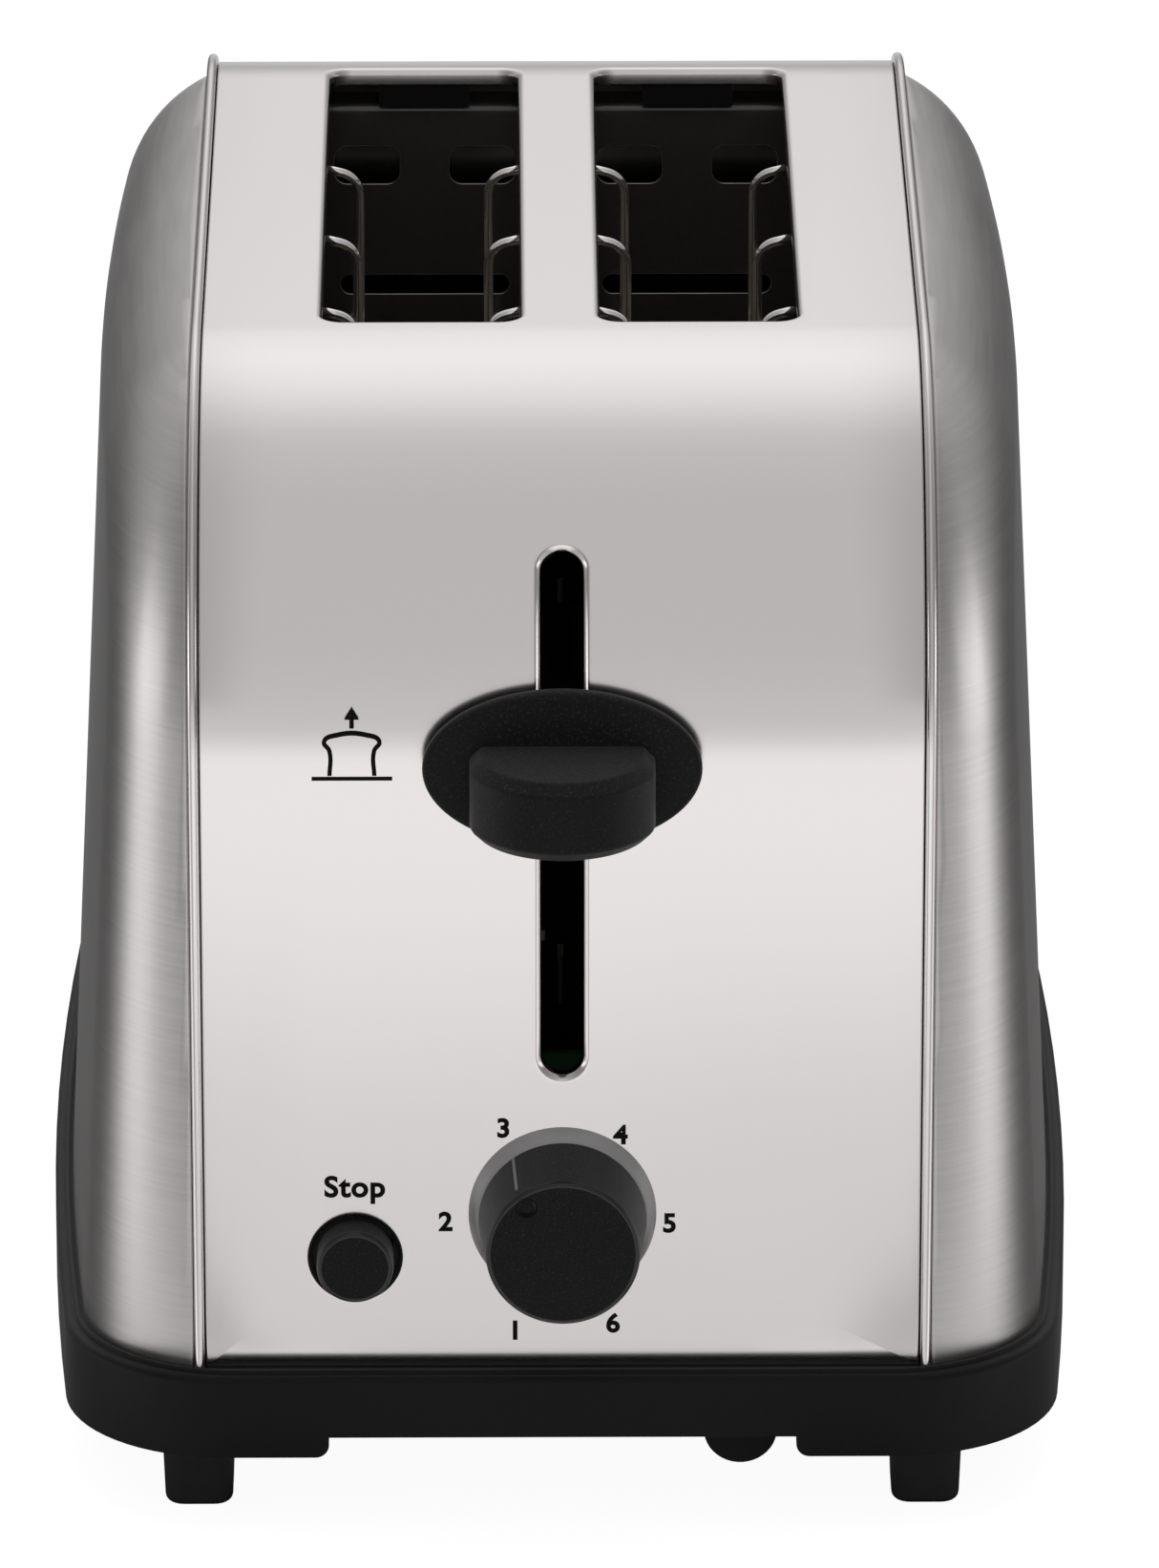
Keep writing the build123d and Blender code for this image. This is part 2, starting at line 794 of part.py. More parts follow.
left_rack = bread_rack("bread_rack_left", -slot_x)
right_rack = bread_rack("bread_rack_right", slot_x)

with BuildPart() as guide_rod:
    with BuildSketch(Plane.XY.offset(floor_top)):
        with Locations((rod_x, rod_y)):
            Circle(rod_radius)
    extrude(amount=bracket_z + rod_bracket_sheet + rod_end - floor_top)
    chamfer(guide_rod.faces().sort_by(Axis.Z)[-1].edges(), rod_end / 2)
guide_rod.part.label = "guide_rod"

with BuildPart() as rod_bracket:
    with BuildSketch(Plane.XY.offset(bracket_z)):
        with Locations((rod_x, chamber_near - sheet)):
            Rectangle(
                rod_bracket_width,
                chamber_near - sheet - rod_y + rod_bracket_width / 2,
                align=(Align.CENTER, Align.MAX),
            )
        with Locations((rod_x, rod_y)):
            Circle(rod_radius + rod_fit, mode=Mode.SUBTRACT)
    extrude(amount=rod_bracket_sheet)
rod_bracket.part.label = "rod_bracket"

spring_low = floor_top + rod_boss_height
spring_radius = rod_radius + spring_gap + spring_wire
spring_length = slider_low - spring_low - 2 * spring_wire
with BuildPart() as return_spring:
    with BuildLine(Plane.XY.offset(spring_low + spring_wire)) as coil:
        Helix(spring_length / spring_turns, spring_length, spring_radius, center=(rod_x, rod_y, 0))
    with BuildSketch(Plane(coil.line @ 0, z_dir=coil.line % 0)):
        RegularPolygon(spring_wire, spring_wire_sides)
    sweep(path=coil.line, is_frenet=True)
return_spring.part.label = "return_spring"

with BuildPart() as lever_arm:
    with BuildSketch(Plane.YZ.offset(-arm_thickness / 2)):
        with Locations((carriage_face, lever_z)):
            Rectangle(carriage_depth + lever_gap, arm_height, align=(Align.MAX, Align.CENTER))
        with Locations((front - lever_gap, lever_z - grip_drop)):
            Rectangle(grip_socket - socket_gap, arm_tongue, align=(Align.MAX, Align.CENTER))
    extrude(amount=arm_thickness)
lever_arm.part.label = "lever_arm"

grip_back = front - lever_gap - lever_plate

with BuildPart() as oval_plate:
    with BuildSketch(front_plane(-lever_gap)):
        with Locations((0, lever_z)):
            Ellipse(lever_plate_width / 2, lever_plate_height / 2)
    extrude(amount=lever_plate)
    fillet(oval_plate.faces().filter_by(Axis.Y).edges(), lever_plate_edge)

with BuildPart() as lever_handle:
    with BuildSketch(Plane.XY.offset(lever_z - grip_drop - grip_height / 2)) as grip:
        half = grip_width / 2
        shoulder = grip_back - grip_straight
        root = grip_back + lever_plate / 2
        with BuildLine():
            ThreePointArc((-half, shoulder), (0, grip_back - grip_depth), (half, shoulder))
            Polyline((half, shoulder), (half, root), (-half, root), (-half, shoulder))
        make_face()
        fillet(grip.vertices().group_by(Axis.Y)[0], grip_corner)
    extrude(amount=grip_height)
    rims = lever_handle.faces().filter_by(Axis.Z).edges().sort_by(Axis.Y)[:-2]
    chamfer(rims, grip_bevel)
    add(oval_plate.part)
    # Socket that the arm's tongue is pushed into
    with BuildSketch(front_plane(-lever_gap)):
        with Locations((0, lever_z - grip_drop)):
            Rectangle(arm_thickness + 2 * socket_gap, arm_tongue + 2 * socket_gap)
    extrude(amount=grip_socket, mode=Mode.SUBTRACT)
lever_handle.part.label = "lever_handle"


# Hold-down magnet on the floor: a three-legged core with its winding on the middle leg

core_window = (core_width - 2 * core_leg - core_post) / 2

with BuildPart() as magnet_core:
    with BuildSketch(Plane.XZ.offset(-magnet_y + core_depth / 2)):
        with Locations((magnet_x, floor_top)):
            Rectangle(core_width, pole_z - floor_top, align=(Align.CENTER, Align.MIN))
        for side in (-1, 1):
            with Locations((magnet_x + side * (core_post + core_window) / 2, pole_z)):
                Rectangle(
                    core_window,
                    pole_z - floor_top - core_yoke,
                    align=(Align.CENTER, Align.MAX),
                    mode=Mode.SUBTRACT,
                )
    extrude(amount=-core_depth)
magnet_core.part.label = "magnet_core"

with BuildPart() as magnet_coil:
    with BuildSketch(Plane.XY.offset(floor_top + core_yoke)):
        with Locations((magnet_x, magnet_y)):
            RectangleRounded(
                core_post + 2 * (coil_gap + coil_wall), core_depth + 2 * (coil_gap + coil_wall), coil_wall
            )
            Rectangle(core_post + 2 * coil_gap, core_depth + 2 * coil_gap, mode=Mode.SUBTRACT)
    extrude(amount=pole_z - coil_drop - floor_top - core_yoke)
magnet_coil.part.label = "magnet_coil"


# Control board with the dial behind the knob, the stop switch, a relay and capacitors

with BuildPart() as control_board:
    with BuildSketch(front_plane(board_depth)):
        with Locations((0, floor_top)):
            Rectangle(2 * board_half_width, board_height, align=(Align.CENTER, Align.MIN))
    extrude(amount=-board_thickness)
control_board.part.label = "control_board"

dial_face = board_depth - dial_body_length
with BuildPart() as dial_body:
    with BuildSketch(front_plane(board_depth)):
        with Locations((0, knob_z)):
            Circle(dial_body_radius)
    extrude(amount=dial_body_length)
    with BuildSketch(front_plane(dial_face)):
        with Locations((0, knob_z)):
            Circle(dial_bush_radius)
    extrude(amount=dial_bush_length)
    with BuildSketch(front_plane(dial_face - dial_bush_length)):
        with Locations((0, knob_z)):
            Circle(shaft_radius + rod_fit)
    extrude(amount=-(dial_bush_length + dial_bore_depth), mode=Mode.SUBTRACT)
dial_body.part.label = "dial_body"

knob_back = collar_clearance + collar_length
with BuildPart() as dial_shaft:
    with BuildSketch(front_plane(dial_face + dial_bore_depth - rod_fit)):
        with Locations((0, knob_z)):
            Circle(shaft_radius)
    extrude(amount=dial_face + dial_bore_depth - rod_fit + collar_clearance + shaft_grip)
dial_shaft.part.label = "dial_shaft"

knob_front = knob_back + knob_length
with BuildPart() as browning_knob:
    with BuildSketch(Plane.YZ):
        with BuildLine():
            Polyline(
                (front - knob_back, knob_z + knob_radius),
                (front - knob_front, knob_z + knob_radius - knob_draft),
                (front - knob_front, knob_z),
                (front - collar_clearance, knob_z),
                (front - collar_clearance, knob_z + hub_radius),
                (front - knob_front + knob_wall, knob_z + hub_radius),
                (front - knob_front + knob_wall, knob_z + knob_radius - knob_wall),
                (front - knob_back, knob_z + knob_radius - knob_wall),
                close=True,
            )
        make_face()
    revolve(axis=Axis((0, 0, knob_z), (0, 1, 0)))
    knob_rim = browning_knob.edges().filter_by(GeomType.CIRCLE).group_by(Axis.Y)[0]
    fillet(knob_rim, knob_edge)
    # Socket for the shaft, and the dimple and groove that point at a setting
    with BuildSketch(front_plane(-collar_clearance)):
        with Locations((0, knob_z)):
            Circle(shaft_radius)
    extrude(amount=shaft_grip, mode=Mode.SUBTRACT)
    pointer = Location((0, knob_z), 90 + pointer_angle)
    with BuildSketch(front_plane(-knob_front)):
        with Locations(pointer):
            with Locations((pointer_radius, 0)):
                Circle(dimple_radius)
    extrude(amount=-dimple_depth, mode=Mode.SUBTRACT)
    with BuildSketch(front_plane(-knob_back)):
        with Locations(pointer):
            with Locations((knob_radius - pointer_depth, 0)):
                Rectangle(2 * pointer_depth, pointer_width, align=(Align.MIN, Align.CENTER))
    extrude(amount=knob_length - knob_edge, mode=Mode.SUBTRACT)
browning_knob.part.label = "browning_knob"

spigot_radius = knob_radius - knob_wall - rod_fit
with BuildPart() as knob_collar:
    with BuildSketch(Plane.YZ):
        with BuildLine():
            Polyline(
                (front - collar_clearance, knob_z + collar_radius),
                (front - knob_back, knob_z + knob_radius),
                (front - knob_back, knob_z + spigot_radius),
                (front - knob_back - collar_spigot, knob_z + spigot_radius),
                (front - knob_back - collar_spigot, knob_z + spigot_radius - collar_wall),
                (front - collar_clearance, knob_z + spigot_radius - collar_wall),
                close=True,
            )
        make_face()
    revolve(axis=Axis((0, 0, knob_z), (0, 1, 0)))
knob_collar.part.label = "knob_collar"

stem_end = board_depth - stop_travel - board_thickness
with BuildPart() as stop_button:
    with BuildSketch(front_plane(sheet + stop_collar_gap + stop_collar_sheet)):
        with Locations((stop_x, stop_z)):
            Circle(stop_radius)
    extrude(amount=sheet + stop_collar_gap + stop_collar_sheet + stop_proud)
    fillet(stop_button.faces().sort_by(Axis.Y)[0].edges(), stop_edge)
    with BuildSketch(front_plane(sheet + stop_collar_gap)):
        with Locations((stop_x, stop_z)):
            Circle(stop_radius + stop_collar)
    extrude(amount=-stop_collar_sheet)
    with BuildSketch(front_plane(stem_end)):
        with Locations((stop_x, stop_z)):
            Circle(stop_stem_radius)
    extrude(amount=stem_end - sheet - stop_collar_gap)
stop_button.part.label = "stop_button"

with BuildPart() as stop_switch:
    with BuildSketch(front_plane(board_depth)):
        with Locations((stop_x, stop_z)):
            Rectangle(switch_width, switch_width)
            Circle(stop_stem_radius + switch_fit, mode=Mode.SUBTRACT)
    extrude(amount=switch_length)
stop_switch.part.label = "stop_switch"

with BuildPart() as board_components:
    with BuildSketch(front_plane(board_depth + board_thickness)):
        with Locations((component_spacing, floor_top + component_height)):
            Rectangle(relay_width, relay_height)
    extrude(amount=-relay_length)
    with BuildSketch(front_plane(board_depth)):
        with Locations((component_spacing, floor_top + component_height)):
            Circle(capacitor_radius)
    extrude(amount=capacitor_length)
board_components.part.label = "board_components"


# Crumb tray, drawn out at the back

tray_low = floor_top + tray_gap
tray_near = chamber_near + tray_front_gap
tray_end = base_end - tray_handle_depth
with BuildPart() as crumb_tray:
    with BuildSketch(Plane.XY.offset(tray_low)):
        with Locations((0, tray_end)):
            Rectangle(2 * tray_half_width, tray_end - tray_near, align=(Align.CENTER, Align.MAX))
    extrude(amount=tray_wall)
    fillet(crumb_tray.edges().filter_by(Axis.Z).group_by(Axis.Y)[0], tray_corner)
    offset(amount=-tray_sheet, openings=crumb_tray.faces().sort_by(Axis.Z)[-1])
crumb_tray.part.label = "crumb_tray"

with BuildPart() as tray_handle:
    with BuildSketch(Plane.XZ.offset(-base_end)):
        with Locations((0, tray_low)):
            Rectangle(
                2 * tray_half_width, mouth_top - tray_low - tray_side_gap, align=(Align.CENTER, Align.MIN)
            )
    extrude(amount=tray_handle_depth)
    with BuildSketch(Plane.YZ):
        with Locations((base_end, (tray_low + mouth_top - tray_side_gap) / 2)):
            Circle(tray_pull_radius - tray_side_gap)
    extrude(amount=tray_half_width / 2, both=True, mode=Mode.SUBTRACT)
tray_handle.part.label = "crumb_tray_handle"


# Mains inlet bush in the floor, and the terminal block beside it

with BuildPart() as inlet_bush:
    with BuildSketch(Plane.XY.offset(floor_under)):
        with Locations((inlet_x, inlet_y)):
            Circle(inlet_radius + inlet_flange)
    extrude(amount=-inlet_flange_height)
    with BuildSketch(Plane.XY.offset(floor_under)):
        with Locations((inlet_x, inlet_y)):
            Circle(inlet_radius - switch_fit)
    extrude(amount=inlet_length - inlet_flange_height)
    with BuildSketch(Plane.XY.offset(floor_under - inlet_flange_height)):
        with Locations((inlet_x, inlet_y)):
            Circle(inlet_bore)
    extrude(amount=inlet_length, mode=Mode.SUBTRACT)
inlet_bush.part.label = "inlet_bush"

way_pitch = terminal_width / terminal_ways
with BuildPart() as terminal_block:
    with BuildSketch(Plane.XY.offset(floor_top)):
        with Locations((inlet_x, inlet_y - terminal_offset)):
            Rectangle(terminal_width, terminal_depth)
    extrude(amount=terminal_height)
    with BuildSketch(Plane.XY.offset(floor_top + terminal_height)):
        with Locations((inlet_x, inlet_y - terminal_offset)):
            with GridLocations(way_pitch, 0, terminal_ways, 1):
                Rectangle(way_pitch - terminal_wall, terminal_depth - 2 * terminal_wall)
    extrude(amount=-terminal_height / 2, mode=Mode.SUBTRACT)
terminal_block.part.label = "terminal_block"


# One file for each piece

pieces = [
    base_moulding,
    feet,
    polished_band,
    left_panel,
    right_panel,
    front_plate,
    rear_plate,
    left_reflector,
    right_reflector,
    chassis_screws,
    left_card,
    centre_card,
    right_card,
    left_ribbon,
    centre_ribbons,
    right_ribbon,
    *guides,
    carriage_bracket,
    slider,
    armature,
    left_rack,
    right_rack,
    guide_rod,
    rod_bracket,
    return_spring,
    lever_arm,
    lever_handle,
    magnet_core,
    magnet_coil,
    control_board,
    dial_body,
    dial_shaft,
    browning_knob,
    knob_collar,
    stop_button,
    stop_switch,
    board_components,
    crumb_tray,
    tray_handle,
    inlet_bush,
    terminal_block,
]
os.makedirs("parts", exist_ok=True)
for piece in pieces:
    export_step(piece.part, f"parts/{piece.part.label}.step")
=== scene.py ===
import json
import math

import bmesh
import bpy
from bpy.props import FloatProperty, FloatVectorProperty, IntProperty, PointerProperty
from mathutils import Matrix, Vector


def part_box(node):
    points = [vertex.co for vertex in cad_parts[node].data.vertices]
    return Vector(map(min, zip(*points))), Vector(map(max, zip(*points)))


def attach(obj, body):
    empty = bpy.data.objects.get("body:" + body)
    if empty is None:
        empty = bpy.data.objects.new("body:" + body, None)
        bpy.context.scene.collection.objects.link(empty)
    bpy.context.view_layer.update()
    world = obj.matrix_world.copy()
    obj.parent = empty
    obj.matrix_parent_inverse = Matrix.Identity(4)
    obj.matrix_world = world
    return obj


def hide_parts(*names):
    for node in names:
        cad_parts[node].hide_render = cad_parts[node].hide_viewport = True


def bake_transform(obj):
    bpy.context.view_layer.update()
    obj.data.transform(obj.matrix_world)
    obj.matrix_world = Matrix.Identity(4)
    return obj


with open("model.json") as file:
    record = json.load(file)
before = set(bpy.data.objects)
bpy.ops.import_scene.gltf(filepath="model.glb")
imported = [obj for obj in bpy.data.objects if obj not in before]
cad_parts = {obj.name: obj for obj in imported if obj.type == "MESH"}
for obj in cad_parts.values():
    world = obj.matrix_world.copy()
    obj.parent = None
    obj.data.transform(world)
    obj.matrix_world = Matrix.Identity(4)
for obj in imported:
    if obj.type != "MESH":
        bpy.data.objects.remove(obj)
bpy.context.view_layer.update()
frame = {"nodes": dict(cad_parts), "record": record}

bl_info = {
    "name": "Pop-up toaster",
    "version": (1, 0, 0),
    "blender": (4, 5, 0),
    "location": "3D View > Sidebar > Toaster",
    "description": "Skins, marks and finishes of a two-slot pop-up toaster",
    "category": "Object",
}

# Places that come from the frame, in metres
BAND_LOW, BAND_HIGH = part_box("polished_band")
PANEL_LOW, PANEL_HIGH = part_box("side_panel_right")
LEVER_LOW, LEVER_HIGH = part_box("lever_handle")
KNOB_LOW, KNOB_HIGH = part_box("browning_knob")
COLLAR_LOW, COLLAR_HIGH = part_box("knob_collar")
STOP_LOW, STOP_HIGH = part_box("stop_button")
FRONT, REAR = BAND_LOW.y, BAND_HIGH.y
LEDGE, TOP = BAND_LOW.z, BAND_HIGH.z
MID = (FRONT + REAR) / 2
KNOB_Z = (COLLAR_LOW.z + COLLAR_HIGH.z) / 2
STOP_X, STOP_Z = (STOP_LOW.x + STOP_HIGH.x) / 2, (STOP_LOW.z + STOP_HIGH.z) / 2
LEVER_Z = (LEVER_LOW.z + LEVER_HIGH.z) / 2
MERGE = 1e-6
INK_HEIGHT = 0.00004
# How finely round forms are stepped
ARCH_STEPS = 56
RIM_STEPS = 40
SHOULDER_STEPS = 20
HOLE_STEPS = 16
SLOT_END_STEPS = 12
SLOT_CORNER_STEPS = 8
SOFT_STEPS = 6
SOLE_STEPS = 5
EDGE_STEPS = 4
KNOB_SIDES = 96
BUTTON_SIDES = 64
DIMPLE_SIDES = 32
WIRE_SIDES = 12


# Settings that a user would change


def size(name, default, description):
    """Length setting in metres."""
    return FloatProperty(name=name, description=description, default=default, unit="LENGTH", precision=5)


def turn(name, degrees, description):
    """Angle setting, its default given in degrees."""
    return FloatProperty(
        name=name, description=description, default=math.radians(degrees), subtype="ANGLE"
    )


def tint(name, default, description):
    """Colour setting."""
    return FloatVectorProperty(
        name=name, description=description, default=default, subtype="COLOR", min=0, max=1
    )


def level(name, default, description):
    """Plain number setting."""
    return FloatProperty(name=name, description=description, default=default)


class BodySizes(bpy.types.PropertyGroup):
    arch_radius: size("Arch radius", 0.062, "Outer radius of the band's two bends")
    sheet: size("Sheet", 0.0008, "Thickness of the band and the side panels")
    lip_radius: size("Lip radius", 0.0012, "Round of the edges that turn into the band")
    lip_depth: size("Lip depth", 0.0030, "How far the turned edges reach inwards")
    lip_flat: size("Lip flat", 0.0006, "Slanted flat on the edges of the front's slot and holes")
    band_edge: size("Band edge", 0.0004, "Round of the band's long edges")
    bread_slot_width: size("Bread slot width", 0.0364, "Clear width of a bread slot")
    bread_slot_length: size("Bread slot length", 0.1464, "Clear length of a bread slot")
    bread_slot_start: size("Bread slot start", 0.0656, "From the front face to the slots")
    bread_slot_spacing: size("Bread slot spacing", 0.0511, "Between the two slots' middles")
    bread_slot_corner: size("Bread slot corner", 0.004, "Corner radius of a bread slot")
    tab_width: size("Tab width", 0.0176, "Width of a tab at a bread slot's end")
    tab_drop: size("Tab drop", 0.008, "How far a tab hangs below the band's top")
    lever_slot_width: size("Lever slot width", 0.0077, "Clear width of the lever slot")
    lever_slot_low: size("Lever slot low end", 0.058, "From the ledge to the slot's low end")
    lever_slot_high: size("Lever slot high end", 0.156, "From the ledge to the slot's high end")
    dial_hole: size("Dial hole radius", 0.006, "Hole behind the knob")
    stop_hole: size("Stop hole radius", 0.0077, "Hole round the stop button")
    shoulder: size("Shoulder round", 0.0255, "Round between a side panel's wall and its flange")
    taper: size("Taper", 0.0084, "How far a side leans in at the top")
    bulge: size("Bulge", 0.007, "How far a side swells at mid-length")
    plate_edge: size("Plate edge", 0.00035, "Break of the chassis plates' edges")
    bead_width: size("Bead width", 0.0014, "Width of the bead on the base's ledge")
    bead_gap: size("Bead gap", 0.0004, "Between the panels and that bead")
    seam_gap: size("Seam gap", 0.0003, "Groove between a side panel and its rim")
    seam_edge: size("Seam edge", 0.0003, "Round of a side panel's edge at that groove")
    rim_width: size("Rim width", 0.0018, "Thickness of the rolled rim")
    rim_proud: size("Rim height", 0.0016, "How far the rim stands above the band")
    rim_depth: size("Rim depth", 0.005, "How far the rim reaches below the band")


class ControlSizes(bpy.types.PropertyGroup):
    plate_width: size("Plate width", 0.0506, "Width of the lever's oval plate")
    plate_height: size("Plate height", 0.0304, "Height of the lever's oval plate")
    plate_depth: size("Plate depth", 0.003, "Thickness of the lever's oval plate")
    plate_edge: size("Plate edge", 0.0011, "Round of the oval plate's edges")
    grip_width: size("Grip width", 0.0335, "Width of the lever's grip")
    grip_height: size("Grip height", 0.0152, "Height of the lever's grip")
    grip_straight: size("Grip flank", 0.008, "Straight part of the grip's sides")
    grip_drop: size("Grip drop", 0.0028, "How far the grip hangs below the plate's middle")
    grip_bevel: size("Grip bevel", 0.0022, "Bevel round the grip's top and bottom")
    grip_corner: size("Grip corner", 0.0034, "Round of the grip's front corners")
    grip_soft: size("Grip softness", 0.0005, "Round of the grip's bevelled edges")
    knob_edge: size("Knob edge", 0.0009, "Round of the knob's front edge")
    knob_draft: size("Knob draft", 0.0013, "How much the knob narrows to the front")
    knob_wall: size("Knob wall", 0.0022, "Wall of the knob")
    dimple_radius: size("Dimple radius", 0.0017, "Mark in the knob's face")
    dimple_reach: size("Dimple reach", 0.0113, "From the knob's axis to the dimple")
    dimple_depth: size("Dimple depth", 0.0010, "Depth of the dimple")
    pointer_angle: turn("Pointer angle", 36.0, "Where the knob points, left of straight up")
    pointer_length: size("Pointer length", 0.0125, "Length of the pointer line on the knob's side")
    pointer_width: size("Pointer width", 0.0006, "Width of the pointer line")
    collar_depth: size("Collar depth", 0.003, "How far the collar stands off, up to the knob")
    collar_wall: size("Collar wall", 0.004, "How far the collar reaches in under the knob")
    soft_edge: size("Soft edge", 0.0003, "Break of the small edges on the knob and collar")
    stop_radius: size("Stop radius", 0.00705, "Radius of the stop button's cap")
    stop_edge: size("Stop edge", 0.0009, "Round of the stop button's edge")
    stop_flange: size("Stop flange", 0.0019, "How far the flange behind the band stands out")
    stop_flange_depth: size("Stop flange depth", 0.0015, "Thickness of that flange")


class GuideSizes(bpy.types.PropertyGroup):
    wire_radius: size("Wire radius", 0.0009, "Half the thickness of the guide wire")
    wire_count: IntProperty(name="Wires", description="Upright wires in a guide", default=4)
    wire_start: size("Wire start", 0.0044, "From the ties' near end to the first wire")
    wire_spacing: size("Wire spacing", 0.041, "Between two upright wires")
    half_spread: size("Half spread", 0.0124, "From a slot's middle to its wires")
    top_depth: size("Top depth", 0.015, "From the band's top to the wires' bends")
    flare_reach: size("Flare reach", 0.0066, "How far a wire's end turns out")
    flare_rise: size("Flare rise", 0.0016, "How far a wire's end rises")
    flare_radius: size("Flare radius", 0.0045, "Bend at the top of a wire")


class SpringSizes(bpy.types.PropertyGroup):
    wire_radius: size("Wire radius", 0.0007, "Half the thickness of the spring's wire")
    turns: IntProperty(name="Turns", description="Open turns of the return spring", default=6)
    end_pitch: size("End pitch", 0.0015, "Rise of the closed turn at each end")


class FootSizes(bpy.types.PropertyGroup):
    width: size("Width", 0.0138, "Width of a foot")
    depth: size("Depth", 0.016, "Depth of a foot, front to back")
    draft: turn("Draft", 2.0, "How much a foot narrows downwards")
    corner: size("Corner", 0.0034, "Round of a foot's corners")
    sole: size("Sole", 0.0014, "Round of a foot's bottom edge")


class MarkSizes(bpy.types.PropertyGroup):
    number_height: size("Number height", 0.0034, "Height of the numbers round the knob")
    letter_height: size("Letter height", 0.0038, "Height of the stop label's capital")
    boldness: size("Boldness", 0.00018, "How far the characters' outlines are set out")
    sign_stroke: size("Sign stroke", 0.0008, "Width of the pop-up sign's strokes")
    stop_label_rise: size("Label rise", 0.0141, "From the stop button's middle to its label")
    sign_height: size("Sign height", 0.0135, "Height of the pop-up sign")
    sign_rise: size("Sign rise", 0.0032, "From the lever's middle to the sign's middle")


class Finishes(bpy.types.PropertyGroup):
    polished: tint("Polished steel", (0.80, 0.764, 0.758), "Colour of the band")
    brushed: tint("Brushed steel", (0.60, 0.58, 0.573), "Colour of the side panels")
    base_black: tint("Base black", (0.006, 0.006, 0.006), "Colour of the moulded base")
    control_black: tint("Control black", (0.008, 0.008, 0.008), "Colour of knob, lever and button")
    chassis_black: tint("Chassis black", (0.045, 0.039, 0.036), "Colour of the coated chassis")
    collar_grey: tint("Collar grey", (0.42, 0.41, 0.41), "Colour of the knob's collar")
    ink: tint("Ink", (0.003, 0.003, 0.003), "Colour of the printed marks")


class StageSettings(bpy.types.PropertyGroup):
    azimuth: turn("Azimuth", -0.40, "Camera's turn round the toaster")
    elevation: turn("Elevation", 21.58, "Camera's height above the horizon")
    distance: size("Distance", 2.5, "From the camera to what it looks at")
    aim_across: size("Aim across", 0.00405, "Where the camera looks, right of the middle")
    aim_behind: size("Aim behind", 0.132, "Where the camera looks, behind the front face")
    aim_height: size("Aim height", 0.0941, "Where the camera looks, above the floor")
    lens: level("Lens", 299.4, "Focal length in millimetres")
    floor_white: level("Floor white", 0.95, "Glow that lifts the floor to white")


# Modelling helpers


def loop_edges(verts):
    """Edges among the given vertices."""
    chosen = set(verts)
    linked = dict.fromkeys(e for v in verts for e in v.link_edges)
    return [e for e in linked if set(e.verts) <= chosen]


def rectangle(bm, width, length, centre):
    """Flat rectangle round a point."""
    quad = bmesh.ops.create_grid(bm, x_segments=1, y_segments=1, size=0.5)["verts"]
    bmesh.ops.scale(bm, vec=(width, length, 1), verts=quad)
    bmesh.ops.translate(bm, vec=centre, verts=quad)
    return quad


def rounded(bm, geom, radius, segments, affect="EDGES"):
    """Rounds the given edges or corners."""
    return bmesh.ops.bevel(
        bm,
        geom=geom,
        offset=radius,
        offset_type="OFFSET",
        affect=affect,
        segments=segments,
        profile=0.5,
        material=-1,
    )["verts"]


def rounded_loop(bm, width, length, corner, centre, height, segments):
    """Closed rounded rectangle of edges, flat at the given height."""
    quad = rectangle(bm, width, length, (*centre, height))
    most = min(width, length) / 2 - MERGE
    face = rounded(bm, quad, min(corner, most), segments, "VERTICES")[0].link_faces[0]
    edges = list(face.edges)
    bmesh.ops.delete(bm, geom=[face], context="FACES_ONLY")
    return edges


def loop_verts(edges):
    """Vertices of the given edges."""
    return list(dict.fromkeys(v for e in edges for v in e.verts))


def ring(bm, radius, height, segments, centre=(0, 0)):
    """Closed circle of edges, flat at the given height."""
    place = Matrix.Translation((*centre, height))
    verts = bmesh.ops.create_circle(bm, radius=radius, segments=segments, matrix=place)["verts"]
    return loop_edges(verts)


def bridge(bm, loops):
    """Walls between each loop and the next."""
    for first, second in zip(loops, loops[1:]):
        bmesh.ops.bridge_loops(bm, edges=first + second)


def lathe(bm, stations, segments, centre=(0, 0)):
    """Turned wall through (radius, height) stations."""
    loops = [ring(bm, radius, height, segments, centre) for radius, height in stations]
    bridge(bm, loops)
    return loops


def picked(geometry, kind):
    """The vertices or edges of what an operator gives back."""
    return [g for g in geometry if isinstance(g, kind)]


def grow(bm, edges, move):
    """Extrudes a ring of edges by a move, and returns the new ring."""
    made = bmesh.ops.extrude_edge_only(bm, edges=edges)["geom"]
    bmesh.ops.translate(bm, vec=move, verts=picked(made, bmesh.types.BMVert))
    return [e for e in picked(made, bmesh.types.BMEdge) if len(e.link_faces) == 1]


def swing(bm, edges, centre, axis, angle, steps, lift=(0, 0, 0)):
    """Carries a ring of edges round an axis, and returns the new ring."""
    made = bmesh.ops.spin(
        bm, geom=edges + loop_verts(edges), cent=centre, axis=axis, dvec=lift, angle=angle, steps=steps
    )
    return picked(made["geom_last"], bmesh.types.BMEdge)


def close(bm, *rings):
    """Fills rings of edges."""
    for edges in rings:
        bmesh.ops.edgeloop_fill(bm, edges=edges)


def steps_of(count):
    """Angles of a quarter turn, end to end."""
    return [math.pi / 2 * k / count for k in range(count + 1)]


def turn_out(bm):
    """Makes the normals of a closed form point outwards."""
    bmesh.ops.recalc_face_normals(bm, faces=bm.faces)


def face_outwards(bm, axis, way):
    """Makes normals agree, so that the outermost face along an axis points that way."""
    turn_out(bm)
    face = max(bm.faces, key=lambda f: way * f.calc_center_median()[axis])
    if way * face.normal[axis] < 0:
        bmesh.ops.reverse_faces(bm, faces=bm.faces)


